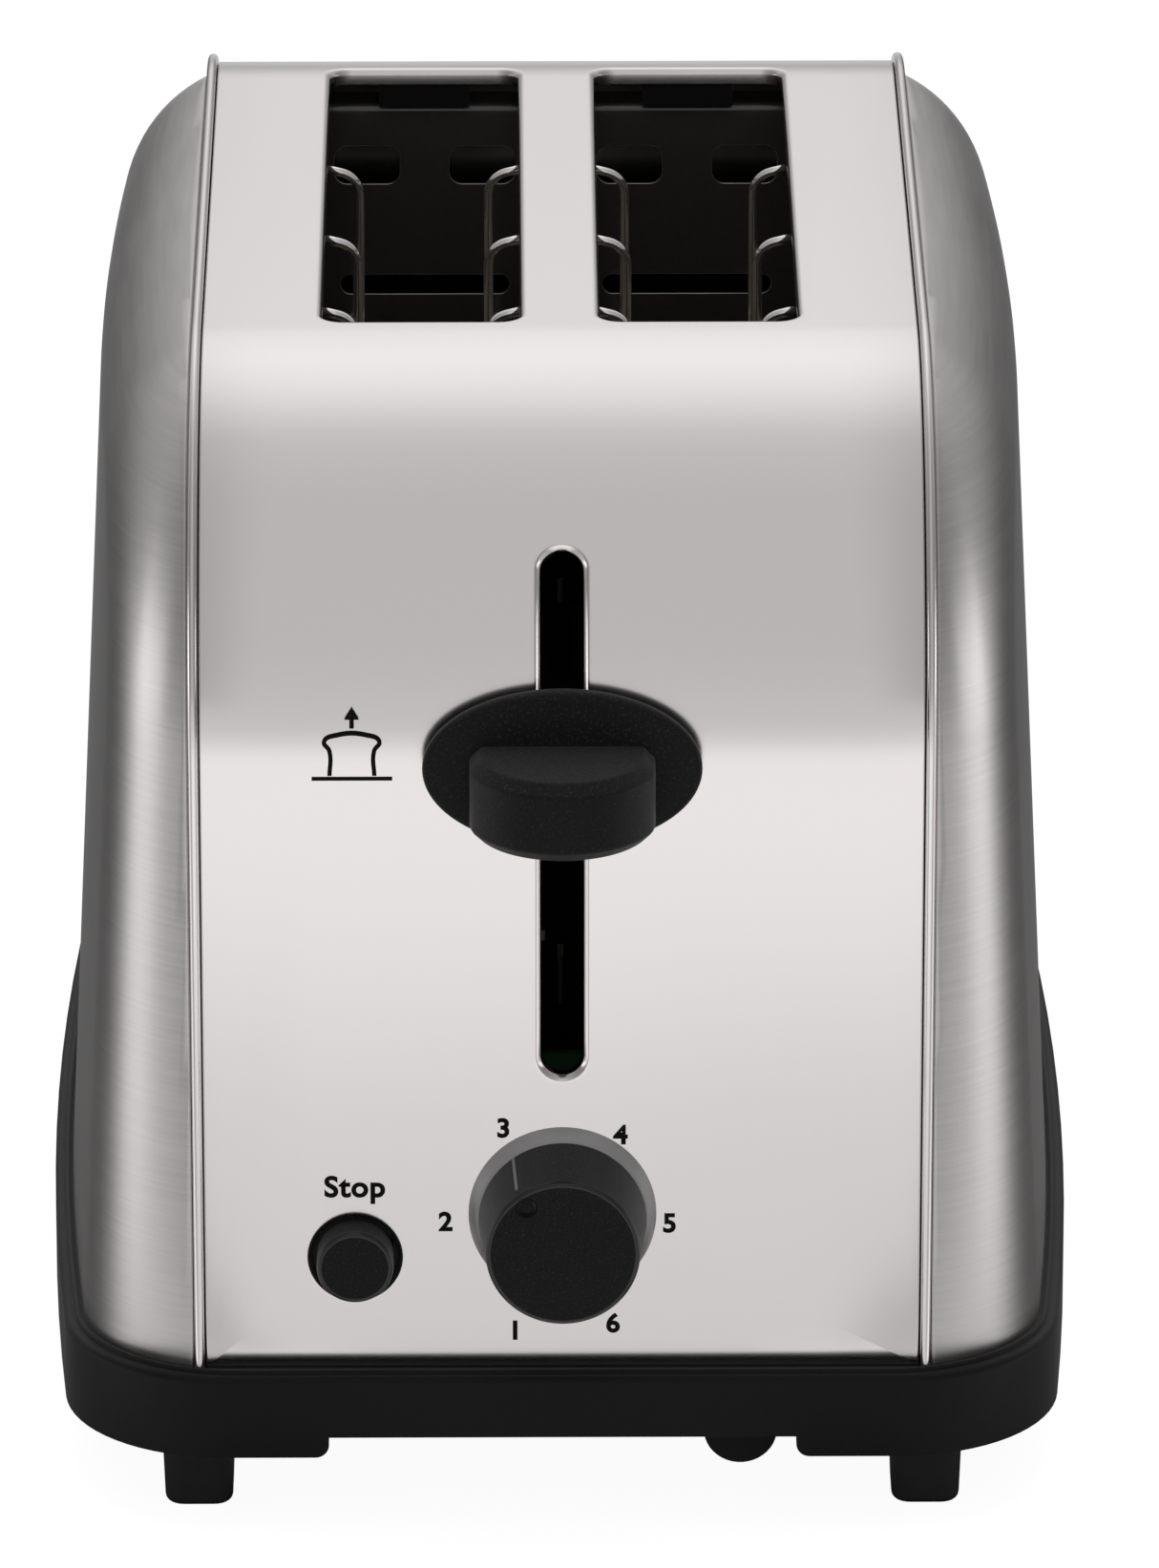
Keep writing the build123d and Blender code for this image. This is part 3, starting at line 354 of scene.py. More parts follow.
def upright(bm, place):
    """Turns a form that was modelled lying down to the front, and sets it in its place."""
    bmesh.ops.rotate(bm, cent=(0, 0, 0), matrix=Matrix.Rotation(math.pi / 2, 3, "X"), verts=bm.verts)
    bmesh.ops.translate(bm, vec=place, verts=bm.verts)


def block(bm, sides, place=(0, 0, 0)):
    """Box round a point."""
    cube = bmesh.ops.create_cube(bm, size=1)["verts"]
    bmesh.ops.scale(bm, vec=sides, verts=cube)
    bmesh.ops.translate(bm, vec=place, verts=cube)
    return cube


def make_piece(bm, name, material, body, nodes=(), sharp=40.0):
    """Turns a bmesh into a piece that rides on a body, if one is given, and stands for CAD nodes."""
    for face in bm.faces:
        face.smooth = True
    for edge in bm.edges:
        edge.smooth = len(edge.link_faces) == 2 and edge.calc_face_angle() < math.radians(sharp)
    mesh = bpy.data.meshes.new(name)
    bm.to_mesh(mesh)
    bm.free()
    mesh.materials.append(material)
    piece = bpy.data.objects.new(name, mesh)
    bpy.context.scene.collection.objects.link(piece)
    if body:
        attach(piece, body)
    if nodes:
        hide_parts(*nodes)
    return piece


def repaint(piece, material, chosen):
    """Gives the faces whose middle is chosen a finish of their own."""
    piece.data.materials.append(material)
    for face in piece.data.polygons:
        if chosen(face.center):
            face.material_index = len(piece.data.materials) - 1


def add_wall(piece, thickness):
    """Gives a skin its thickness, inwards."""
    wall = piece.modifiers.new("wall", "SOLIDIFY")
    wall.thickness = thickness
    wall.offset = -1
    wall.use_even_offset = True


def add_bevel(piece, width, segments=3, angle=35.0, edge_highlight=None):
    """Softens a piece's sharp edges, with a finish of their own if one is given."""
    soft = piece.modifiers.new("soft_edges", "BEVEL")
    soft.width = width
    soft.segments = segments
    soft.limit_method = "ANGLE"
    soft.angle_limit = math.radians(angle)
    soft.harden_normals = True
    if edge_highlight:
        piece.data.materials.append(edge_highlight)
        soft.material = len(piece.data.materials) - 1


# Finishes

EVEN = (1, 1, 1)
SPECK_SCALE = 2300
SPECK_RANGE = (0.56, 0.78)
SPECK_GREY = (0.036, 0.036, 0.037, 1)
RELIEF_DEPTH = 0.0002


def node(tree, kind, inputs=None, **settings):
    """Shader node with its input values and settings."""
    made = tree.nodes.new("ShaderNode" + kind)
    for key, value in settings.items():
        setattr(made, key, value)
    for key, value in (inputs or {}).items():
        if hasattr(value, "is_output"):
            tree.links.new(value, made.inputs[key])
        else:
            made.inputs[key].default_value = value
    return made


def calc(tree, operation, *values):
    """Result of a sum on numbers and sockets."""
    return node(tree, "Math", dict(enumerate(values)), operation=operation).outputs[0]


def vector_calc(tree, operation, *values):
    """Result of a sum on vectors."""
    return node(tree, "VectorMath", dict(enumerate(values)), operation=operation).outputs[0]


def spread(tree, value, low, high):
    """Maps a zero-to-one value to a range."""
    return node(tree, "MapRange", {0: value, 3: low, 4: high}).outputs[0]


def grain(tree, stretch, scale, detail=4.0, roughness=0.6):
    """Noise on the piece's own coordinates, stretched per axis."""
    place = node(tree, "TexCoord").outputs["Object"]
    place = node(tree, "Mapping", {"Vector": place, "Scale": stretch}).outputs[0]
    noise = node(
        tree, "TexNoise", {"Vector": place, "Scale": scale, "Detail": detail, "Roughness": roughness}
    )
    return noise.outputs["Fac"]


def blend(tree, share, first, second):
    """Colour between two by a share."""
    mix = node(tree, "Mix", {"Factor": share, 6: first, 7: second}, data_type="RGBA")
    return mix.outputs[2]


def graded(tree, value, span, stops):
    """Grey that follows a value over a span, through (place, grey) stops."""
    share = node(tree, "MapRange", {0: value, 1: span[0], 2: span[1]}).outputs[0]
    ramp = node(tree, "ValToRGB", {0: share})
    elements = ramp.color_ramp.elements
    while len(elements) < len(stops):
        elements.new(0.5)
    for element, (place, grey) in zip(elements, stops):
        element.position = place
        element.color = (grey, grey, grey, 1)
    return ramp.outputs[0]


def scaled(colour, share):
    """Colour made darker or lighter."""
    return (*(min(1.0, part * share) for part in colour), 1.0)


def brush_lines(tree, shader):
    """Stretches the shine across level brush lines."""
    normal = node(tree, "NewGeometry").outputs["Normal"]
    level_line = vector_calc(tree, "CROSS_PRODUCT", normal, (0, 0, 1))
    across = vector_calc(tree, "CROSS_PRODUCT", level_line, normal)
    tree.links.new(vector_calc(tree, "NORMALIZE", across), shader.inputs["Tangent"])


def speckle(tree, shader):
    """Strews fine light grains over the tone."""
    tone = shader.inputs["Base Color"].links[0].from_socket
    specks = grain(tree, EVEN, SPECK_SCALE, detail=1.0)
    share = node(tree, "MapRange", {0: specks, 1: SPECK_RANGE[0], 2: SPECK_RANGE[1]}).outputs[0]
    tree.links.new(blend(tree, share, tone, SPECK_GREY), shader.inputs["Base Color"])


TOUCHES = {"brushed_steel": brush_lines, "control_plastic": speckle}
# Each finish has its colour, or the setting that holds it, the spread of its tone, the range
# of its roughness, the scales of its broad and its fine noise, the strength of its relief and
# its share of metal. What is special to it follows: shader sockets, the fine noise's stretch,
# the depth of its relief
FINISHES = {
    # Mirror finish with the faint waviness and haze of rolled sheet
    "polished_steel": (
        ("polished", 0.015, (0.16, 0.21), (14, 900), 0.010, 1.0),
        {"stretch": (1, 0.05, 0.05)},
    ),
    # Steel brushed in long level lines
    "brushed_steel": (
        ("brushed", 0.30, (0.24, 0.44), (9, 1500), 0.16, 1.0),
        {"sockets": {"Anisotropic": 0.75}, "stretch": (0.03, 0.03, 1), "depth": 0.00006},
    ),
    # Moulded black plastic with a fine spark-eroded grain
    "base_plastic": (
        ("base_black", 0.35, (0.40, 0.56), (30, 2200), 0.16, 0.0),
        {"sockets": {"Specular IOR Level": 0.15, "Sheen Weight": 0.12}},
    ),
    # Soft-touch black with a speckle of fine light grains
    "control_plastic": (
        ("control_black", 0.30, (0.46, 0.62), (40, 2600), 0.22, 0.0),
        {"sockets": {"Specular IOR Level": 0.15, "Sheen Weight": 0.13}},
    ),
    # Control plastic rubbed shiny on its rounded edges
    "rubbed_plastic": (
        ("control_black", 0.30, (0.28, 0.40), (40, 2600), 0.10, 0.0),
        {"sockets": {"Specular IOR Level": 0.6}},
    ),
    # Dull black rubber
    "foot_rubber": (
        ((0.03, 0.03, 0.03), 0.25, (0.60, 0.75), (60, 1800), 0.45, 0.0),
        {"sockets": {"Specular IOR Level": 0.45}},
    ),
    # Baked black coating on sheet steel
    "chassis_coat": (
        ("chassis_black", 0.35, (0.34, 0.50), (25, 700), 0.06, 0.2),
        {"sockets": {"Coat Weight": 1.0, "Coat Roughness": 0.14}},
    ),
    # Near-black painted shade where the chassis meets the band, on what is seen deep in the slots
    "chassis_dull": (
        ((0.008, 0.007, 0.007), 0.35, (0.55, 0.70), (25, 900), 0.08, 0.0),
        {"sockets": {"Specular IOR Level": 0.15}},
    ),
    # Bright bare steel on the rear plate's broken edges, a painted highlight along them
    "worn_edge": (((0.85, 0.84, 0.83), 0.15, (0.24, 0.38), (120, 1600), 0.06, 1.0), {}),
    # Zinc-plated sheet with a dull bloom
    "plated_steel": (((0.46, 0.46, 0.44), 0.14, (0.26, 0.42), (60, 900), 0.05, 1.0), {}),
    # Plated wire, lightly tinted by heat
    "guide_wire": (((0.88, 0.86, 0.83), 0.10, (0.10, 0.18), (45, 1500), 0.05, 0.92), {}),
    # Ground round bar
    "rod_steel": (
        ((0.55, 0.55, 0.55), 0.08, (0.16, 0.28), (40, 1800), 0.05, 1.0),
        {"stretch": (1, 1, 0.05)},
    ),
    # Pressed mica with pale flakes
    "mica": (
        ((0.30, 0.25, 0.18), 0.25, (0.38, 0.60), (70, 420), 0.10, 0.0),
        {"sockets": {"Coat Weight": 0.1}},
    ),
    # Resistance ribbon dulled by oxide
    "ribbon_alloy": (((0.30, 0.27, 0.24), 0.20, (0.34, 0.50), (90, 1200), 0.08, 1.0), {}),
    # Natural nylon
    "slider_plastic": (
        ((0.62, 0.59, 0.52), 0.06, (0.40, 0.52), (40, 1600), 0.08, 0.0),
        {"sockets": {"Subsurface Weight": 0.1}},
    ),
    # Stack of iron laminations
    "core_iron": (
        ((0.20, 0.19, 0.18), 0.25, (0.34, 0.52), (50, 1700), 0.30, 1.0),
        {"stretch": (0.05, 1, 0.05)},
    ),
    # Enamelled winding wire
    "coil_copper": (
        ((0.48, 0.17, 0.07), 0.20, (0.20, 0.34), (40, 1500), 0.40, 1.0),
        {"stretch": (0.05, 0.05, 1)},
    ),
    # Green lacquered laminate of a circuit board
    "board_laminate": (((0.025, 0.13, 0.055), 0.18, (0.40, 0.55), (60, 900), 0.08, 0.0), {}),
    # Dark moulded cases of the electrical parts
    "component_plastic": (((0.020, 0.022, 0.028), 0.20, (0.35, 0.50), (60, 1500), 0.10, 0.0), {}),
    # Satin grey collar, turned
    "collar_metal": (("collar_grey", 0.06, (0.36, 0.46), (30, 1800), 0.05, 0.3), {}),
    # Pale paint in the knob's pointer line
    "pointer_paint": (((0.22, 0.22, 0.22), 0.15, (0.45, 0.60), (60, 1800), 0.10, 0.0), {}),
    # Printed black ink, slightly uneven, also laid on the knob's dimple wall as painted shade
    "ink": (
        ("ink", 0.3, (0.50, 0.62), (80, 2400), 0.06, 0.0),
        {"sockets": {"Specular IOR Level": 0.1}},
    ),
    # Matt board under the toaster, which its glow lifts to white
    "floor": (
        ((0.14, 0.14, 0.14), 0.02, (0.75, 0.85), (2, 40), 0.02, 0.0),
        {"sockets": {"Specular IOR Level": 0.1}},
    ),
}


def finish(name):
    """Material with fine and broad noise in its colour, roughness and relief."""
    (colour, vary, rough, grains, relief, metal), special = FINISHES[name]
    if isinstance(colour, str):
        colour = getattr(bpy.context.scene.toaster_finishes, colour)
    material = bpy.data.materials.new(name)
    material.use_nodes = True
    tree = material.node_tree
    shader = tree.nodes["Principled BSDF"]
    broad = grain(tree, EVEN, grains[0])
    fine = grain(tree, special.get("stretch", EVEN), grains[1])
    both = calc(tree, "MULTIPLY", calc(tree, "ADD", broad, fine), 0.5)
    tone = blend(tree, both, scaled(colour, 1 - vary), scaled(colour, 1 + vary))
    depth = special.get("depth", RELIEF_DEPTH)
    bump = node(tree, "Bump", {"Strength": relief, "Distance": depth, "Height": fine})
    tree.links.new(tone, shader.inputs["Base Color"])
    tree.links.new(spread(tree, both, *rough), shader.inputs["Roughness"])
    tree.links.new(bump.outputs[0], shader.inputs["Normal"])
    shader.inputs["Metallic"].default_value = metal
    for key, value in special.get("sockets", {}).items():
        shader.inputs[key].default_value = value
    if name in TOUCHES:
        TOUCHES[name](tree, shader)
    return material


# Polished band

# How far the sheet round a hole is drawn with it, as a share of the lip's round
LIP_APRON = 4 / 3
# Steps in a lip's round, and the half of them before a flat
LIP_STEPS, LIP_HALF = 6, 3
# Corner of the band's flat sheet, all but sharp
SHEET_CORNER = 1e-5


def band_runs(sizes):
    """Radius of the band's bends, and the lengths of an upright, a bend and the top."""
    radius = sizes.arch_radius
    return radius, TOP - LEDGE - radius, radius * math.pi / 2, REAR - FRONT - 2 * radius


def band_point(flat, sizes):
    """Carries a point of the flat sheet, (across, along, above), round the band."""
    radius, rise, bend, run = band_runs(sizes)
    along, above = flat.y, flat.z
    if along <= rise:
        return Vector((flat.x, FRONT - above, LEDGE + along))
    if along <= rise + bend:
        angle = (along - rise) / radius
        reach = radius + above
        y = FRONT + radius - reach * math.cos(angle)
        return Vector((flat.x, y, LEDGE + rise + reach * math.sin(angle)))
    if along <= rise + bend + run:
        return Vector((flat.x, FRONT + radius + along - rise - bend, TOP + above))
    if along <= rise + 2 * bend + run:
        angle = (along - rise - bend - run) / radius
        reach = radius + above
        y = REAR - radius + reach * math.sin(angle)
        return Vector((flat.x, y, LEDGE + rise + reach * math.cos(angle)))
    return Vector((flat.x, REAR + above, TOP - radius - (along - rise - 2 * bend - run)))


def lipped_hole(bm, width, length, corner, centre, sizes, segments, flat=0.0):
    """Hole with a rounded, turned-in edge; returns the loop that the sheet meets.

    flat is the width of a slanted flat in the middle of the round.
    """
    reach, radius = sizes.lip_radius, sizes.lip_radius - flat
    angles = steps_of(LIP_STEPS)
    lower = angles[LIP_HALF if flat else LIP_HALF + 1 :]
    turns = [(a, 0.0) for a in angles[: LIP_HALF + 1]] + [(a, flat) for a in lower]
    stations = [(reach * LIP_APRON, 0.0)]
    stations += [
        (reach - down - radius * math.sin(a), radius * math.cos(a) - radius - down) for a, down in turns
    ]
    stations.append((0.0, -sizes.lip_depth))
    loops = [
        rounded_loop(bm, width + 2 * out, length + 2 * out, corner + out, centre, height, segments)
        for out, height in stations
    ]
    bridge(bm, loops)
    return loops[0]


class TOASTER_OT_band(bpy.types.Operator):
    """Polished band with its slots and holes, bent round from a flat sheet"""

    bl_idname = "toaster.band"
    bl_label = "Polished band"

    def execute(self, context):
        sizes = context.scene.toaster_body
        radius, rise, bend, run = band_runs(sizes)
        total = 2 * rise + 2 * bend + run
        bm = bmesh.new()
        half, edge = BAND_HIGH.x, sizes.band_edge
        rims = []
        for angle in steps_of(EDGE_STEPS):
            out, height = edge * math.sin(angle) - edge, edge * math.cos(angle) - edge
            wide, long = 2 * (half + out), total + 2 * out
            rims.append(rounded_loop(bm, wide, long, SHEET_CORNER, (0, total / 2), height, 1))
        bridge(bm, rims)
        slot_near = rise + bend + sizes.bread_slot_start - radius
        slot_mid = slot_near + sizes.bread_slot_length / 2
        edges = list(rims[0])
        wide, long, corner = sizes.bread_slot_width, sizes.bread_slot_length, sizes.bread_slot_corner
        for side in (-1, 1):
            centre = (side * sizes.bread_slot_spacing / 2, slot_mid)
            edges += lipped_hole(bm, wide, long, corner, centre, sizes, SLOT_CORNER_STEPS)
        high = rise + radius * math.asin((sizes.lever_slot_high - rise) / radius)
        lever_mid = (sizes.lever_slot_low + high) / 2
        wide, long, flat = sizes.lever_slot_width, high - sizes.lever_slot_low, sizes.lip_flat
        edges += lipped_hole(bm, wide, long, wide / 2, (0, lever_mid), sizes, SLOT_END_STEPS, flat)
        for x, z, hole in ((0, KNOB_Z, sizes.dial_hole), (STOP_X, STOP_Z, sizes.stop_hole)):
            edges += lipped_hole(bm, 2 * hole, 2 * hole, hole, (x, z - LEDGE), sizes, HOLE_STEPS, flat)
        bmesh.ops.triangle_fill(bm, edges=edges, use_beauty=True, normal=(0, 0, 1))
        bmesh.ops.remove_doubles(bm, verts=bm.verts, dist=MERGE)
        for start in (rise, rise + bend + run):
            for step in range(ARCH_STEPS + 1):
                bmesh.ops.bisect_plane(
                    bm,
                    geom=bm.verts[:] + bm.edges[:] + bm.faces[:],
                    dist=MERGE,
                    plane_co=(0, start + bend * step / ARCH_STEPS, 0),
                    plane_no=(0, 1, 0),
                )
        for vert in bm.verts:
            vert.co = band_point(vert.co, sizes)
        face_outwards(bm, 2, 1)
        steel = finish("polished_steel")
        piece = make_piece(bm, "band", steel, "housing", ["polished_band"], sharp=60)
        add_wall(piece, sizes.sheet)
        return {"FINISHED"}


class TOASTER_OT_slot_tabs(bpy.types.Operator):
    """Tabs that hang from the ends of the bread slots, dark with painted shade"""

    bl_idname = "toaster.slot_tabs"
    bl_label = "Slot tabs"

    def execute(self, context):
        sizes = context.scene.toaster_body
        near = FRONT + sizes.bread_slot_start
        bm = bmesh.new()
        tall = sizes.tab_drop - sizes.lip_depth / 2
        z = TOP - sizes.lip_depth / 2 - tall / 2
        for side in (-1, 1):
            for y in (near - sizes.sheet / 2, near + sizes.bread_slot_length + sizes.sheet / 2):
                place = (side * sizes.bread_slot_spacing / 2, y, z)
                block(bm, (sizes.tab_width, sizes.sheet, tall), place)
        corners = [
            e
            for e in bm.edges
            if abs(e.verts[0].co.y - e.verts[1].co.y) > MERGE
            and max(v.co.z for v in e.verts) < TOP - sizes.tab_drop / 2
        ]
        rounded(bm, corners, sizes.sheet, EDGE_STEPS)
        turn_out(bm)
        # The tabs take the slots' near-black painted shade
        make_piece(bm, "slot_tabs", finish("chassis_dull"), "housing")
        return {"FINISHED"}


class TOASTER_OT_chassis_plates(bpy.types.Operator):
    """Chassis plates that close the ends of the bread chamber, with broken edges"""

    bl_idname = "toaster.chassis_plates"
    bl_label = "Chassis plates"

    def execute(self, context):
        sizes = context.scene.toaster_body
        # The front plate takes near-black painted shade, the rear one its black coat
        ends = (("front", "chassis_dull", None), ("rear", "chassis_coat", finish("worn_edge")))
        for end, plate_finish, edge_highlight in ends:
            name = f"{end}_chassis_plate"
            bm = bmesh.new()
            bm.from_mesh(frame["nodes"][name].data)
            bmesh.ops.remove_doubles(bm, verts=bm.verts, dist=MERGE)
            bmesh.ops.dissolve_limit(bm, angle_limit=math.radians(1), verts=bm.verts, edges=bm.edges)
            plate = make_piece(
                bm, f"{end}_plate", finish(plate_finish), "housing", [name], sharp=30
            )
            # The rear plate's broken edges get bright bare steel as a painted highlight
            add_bevel(plate, sizes.plate_edge, 3, 30, edge_highlight)
        return {"FINISHED"}


# Side panels and their rims

# Width of a panel's flange before it is trimmed at the seam, as a share of the shoulder's round
FLANGE = 1.3
# Cuts along and up the wall, and the edges that are cut: this long, and so near to that way
PANEL_CUTS = ((1, 24), (2, 10))
WALL_EDGE, NEARLY = 0.03, 0.9
# Steps round a panel's upper corners, and the flat left on top of the rim's round
CORNER_STEPS = 32
RIM_FLAT = 2e-5


def turn_in(bm, edges, radius, depth, sideways):
    """Turns a sheet's open edge inwards round a small radius."""
    bm.normal_update()
    spots = {v: (v.co.copy(), v.normal.copy()) for v in loop_verts(edges)}
    rows = [(radius * math.sin(a), radius - radius * math.cos(a)) for a in steps_of(EDGE_STEPS)[1:]]
    for out, drop in rows + [(radius, radius + depth)]:
        made = bmesh.ops.extrude_edge_only(bm, edges=edges)["geom"]
        fresh = picked(made, bmesh.types.BMVert)
        grown = {}
        for vert in fresh:
            root = next(o for o in (e.other_vert(vert) for e in vert.link_edges) if o in spots)
            grown[vert] = spots[root]
        for vert, (spot, normal) in grown.items():
            vert.co = spot + out * Vector(sideways) - drop * normal
        spots, edges = grown, loop_edges(fresh)


def side_skin(sizes):
    """Right-hand side panel as a skin."""
    bm = bmesh.new()
    half = PANEL_HIGH.x
    length, height = REAR - FRONT, TOP - LEDGE
    quad = rectangle(bm, length, height, (0, 0, 0))
    sideways = Matrix(((0, 0, 1, 0), (1, 0, 0, 0), (0, 1, 0, 0), (0, 0, 0, 1)))
    place = Matrix.Translation((half, MID, LEDGE + height / 2)) @ sideways
    bmesh.ops.transform(bm, matrix=place, verts=quad)
    upper = [v for v in quad if v.co.z > LEDGE + height / 2]
    rounded(bm, upper, sizes.arch_radius, CORNER_STEPS, "VERTICES")
    bm.faces.ensure_lookup_table()
    wall = bm.faces[0]
    outline = [e for e in wall.edges if max(v.co.z for v in e.verts) > LEDGE + MERGE]
    flange = bmesh.ops.extrude_edge_only(bm, edges=outline)["geom"]
    moved = picked(flange, bmesh.types.BMVert)
    bmesh.ops.translate(bm, vec=(-FLANGE * sizes.shoulder, 0, 0), verts=moved)
    rounded(bm, outline, sizes.shoulder, SHOULDER_STEPS)
    # The flat wall becomes level strips from front to rear
    wall = max(bm.faces, key=lambda f: f.calc_area())
    level_ends = [e for e in wall.edges if abs(e.verts[0].co.z - e.verts[1].co.z) < MERGE]
    chain = [e for e in wall.edges if e not in level_ends]
    bmesh.ops.delete(bm, geom=[wall], context="FACES_ONLY")
    bmesh.ops.bridge_loops(bm, edges=chain)
    for axis, cuts in PANEL_CUTS:
        long = [
            e
            for e in bm.edges
            if abs(e.verts[0].co[axis] - e.verts[1].co[axis]) > NEARLY * e.calc_length() > WALL_EDGE
        ]
        bmesh.ops.subdivide_edges(bm, edges=long, cuts=cuts, use_grid_fill=True)
    for vert in bm.verts:
        lean = sizes.taper * (vert.co.z - LEDGE) / height
        swell = sizes.bulge * ((vert.co.y - MID) / (length / 2)) ** 2
        vert.co.x -= lean + swell
    seam = PANEL_LOW.x + sizes.rim_width + sizes.seam_gap + sizes.seam_edge
    bmesh.ops.bisect_plane(
        bm,
        geom=bm.verts[:] + bm.edges[:] + bm.faces[:],
        dist=MERGE,
        plane_co=(seam, 0, 0),
        plane_no=(1, 0, 0),
        clear_inner=True,
    )
    bmesh.ops.remove_doubles(bm, verts=bm.verts, dist=MERGE)
    face_outwards(bm, 0, 1)
    edges = [e for e in bm.edges if e.is_boundary and max(v.co.x for v in e.verts) < seam + MERGE]
    turn_in(bm, edges, sizes.seam_edge, sizes.sheet, (-1, 0, 0))
    return bm


def rim_bead(sizes):
    """Right-hand rim, carried round the band's edge."""
    bm = bmesh.new()
    depth = sizes.rim_proud + sizes.rim_depth
    middle = (PANEL_LOW.x + sizes.rim_width / 2, FRONT - sizes.rim_proud + depth / 2, LEDGE)
    quad = rectangle(bm, sizes.rim_width, depth, middle)
    outer = [v for v in quad if v.co.y < middle[1]]
    rounded(bm, outer, sizes.rim_width / 2 - RIM_FLAT, SOFT_STEPS, "VERTICES")
    radius, rise, _, run = band_runs(sizes)
    over, quarter = (1, 0, 0), -math.pi / 2
    edges = grow(bm, bm.edges[:], (0, 0, rise))
    edges = swing(bm, edges, (0, FRONT + radius, TOP - radius), over, quarter, RIM_STEPS)
    edges = grow(bm, edges, (0, run, 0))
    edges = swing(bm, edges, (0, REAR - radius, TOP - radius), over, quarter, RIM_STEPS)
    close(bm, grow(bm, edges, (0, 0, -rise)))
    turn_out(bm)
    return bm


def mirrored(bm):
    """Left-hand form of a right-hand one."""
    bmesh.ops.scale(bm, vec=(-1, 1, 1), verts=bm.verts)
    bmesh.ops.reverse_faces(bm, faces=bm.faces)
    return bm


class TOASTER_OT_side_panels(bpy.types.Operator):
    """Both drawn side panels and the rolled rims that frame the band"""

    bl_idname = "toaster.side_panels"
    bl_label = "Side panels"

    def execute(self, context):
        sizes = context.scene.toaster_body
        brushed, bright = finish("brushed_steel"), finish("polished_steel")
        for side in ("right", "left"):
            skin, bead = side_skin(sizes), rim_bead(sizes)
            if side == "left":
                skin, bead = mirrored(skin), mirrored(bead)
            panel = make_piece(
                skin, f"panel_{side}", brushed, "housing", [f"side_panel_{side}"], 60
            )
            add_wall(panel, sizes.sheet)
            make_piece(bead, f"rim_{side}", bright, "housing", sharp=50)
        return {"FINISHED"}


# Base and feet

# Steps round the bead's corners, and cuts along its flanks
BEAD_STEPS = 16
BEAD_CUTS = 24


class TOASTER_OT_base_bead(bpy.types.Operator):
    """Moulded bead on the base's ledge, round the foot of the panels and the band"""

    bl_idname = "toaster.base_bead"
    bl_label = "Base bead"

    def execute(self, context):
        sizes = context.scene.toaster_body
        half, length = PANEL_HIGH.x, REAR - FRONT
        bm = bmesh.new()
        radius = sizes.bead_width / 2
        stations = [(sizes.bead_gap + 2 * radius, -radius / 2)]
        stations += [
            (sizes.bead_gap + radius + radius * math.cos(a), radius * math.sin(a))
            for a in (2 * quarter for quarter in steps_of(8))
        ]
        stations.append((sizes.bead_gap, -radius / 2))
        loops = []
        for out, rise in stations:
            wide, long = 2 * (half + out), length + 2 * (out + sizes.rim_proud)
            corner = sizes.shoulder + out
            loops.append(rounded_loop(bm, wide, long, corner, (0, MID), LEDGE + rise, BEAD_STEPS))
        bridge(bm, loops + loops[:1])
        flanks = [e for e in bm.edges if abs(e.verts[0].co.y - e.verts[1].co.y) > length / 2]
        bmesh.ops.subdivide_edges(bm, edges=flanks, cuts=BEAD_CUTS, use_grid_fill=True)
        for vert in bm.verts:
            swell = sizes.bulge * ((vert.co.y - MID) / (length / 2)) ** 2
            share = min(1.0, abs(vert.co.x) / (half - sizes.shoulder))
            vert.co.x -= math.copysign(swell, vert.co.x) * share
        turn_out(bm)
        make_piece(bm, "base_bead", finish("base_plastic"), "housing", sharp=60)
        return {"FINISHED"}


class TOASTER_OT_feet(bpy.types.Operator):
    """Four tapered feet with rounded soles"""

    bl_idname = "toaster.feet"
    bl_label = "Feet"

    def execute(self, context):
        sizes = context.scene.toaster_feet
        low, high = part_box("feet")
        tall = high.z - low.z
        bm = bmesh.new()
        for x in (low.x + sizes.width / 2, high.x - sizes.width / 2):
            for y in (low.y + sizes.depth / 2, high.y - sizes.depth / 2):
                cube = block(bm, (sizes.width, sizes.depth, tall))
                soles = [v for v in cube if v.co.z < 0]
                narrow = 1 - 2 * tall * math.tan(sizes.draft) / sizes.width
                bmesh.ops.scale(bm, vec=(narrow, narrow, 1), verts=soles)
                bmesh.ops.translate(bm, vec=(x, y, low.z + tall / 2), verts=cube)
        posts = [e for e in bm.edges if abs(e.verts[0].co.z - e.verts[1].co.z) > tall / 2]
        rounded(bm, posts, sizes.corner, SOFT_STEPS)
        rims = [e for e in bm.edges if max(v.co.z for v in e.verts) < low.z + MERGE]
        rounded(bm, rims, sizes.sole, SOLE_STEPS)
        turn_out(bm)
        make_piece(bm, "foot_pads", finish("foot_rubber"), "housing", ["feet"], sharp=50)
        return {"FINISHED"}


# Controls

# Cuts across the grip's bowed front
GRIP_CUTS = 31


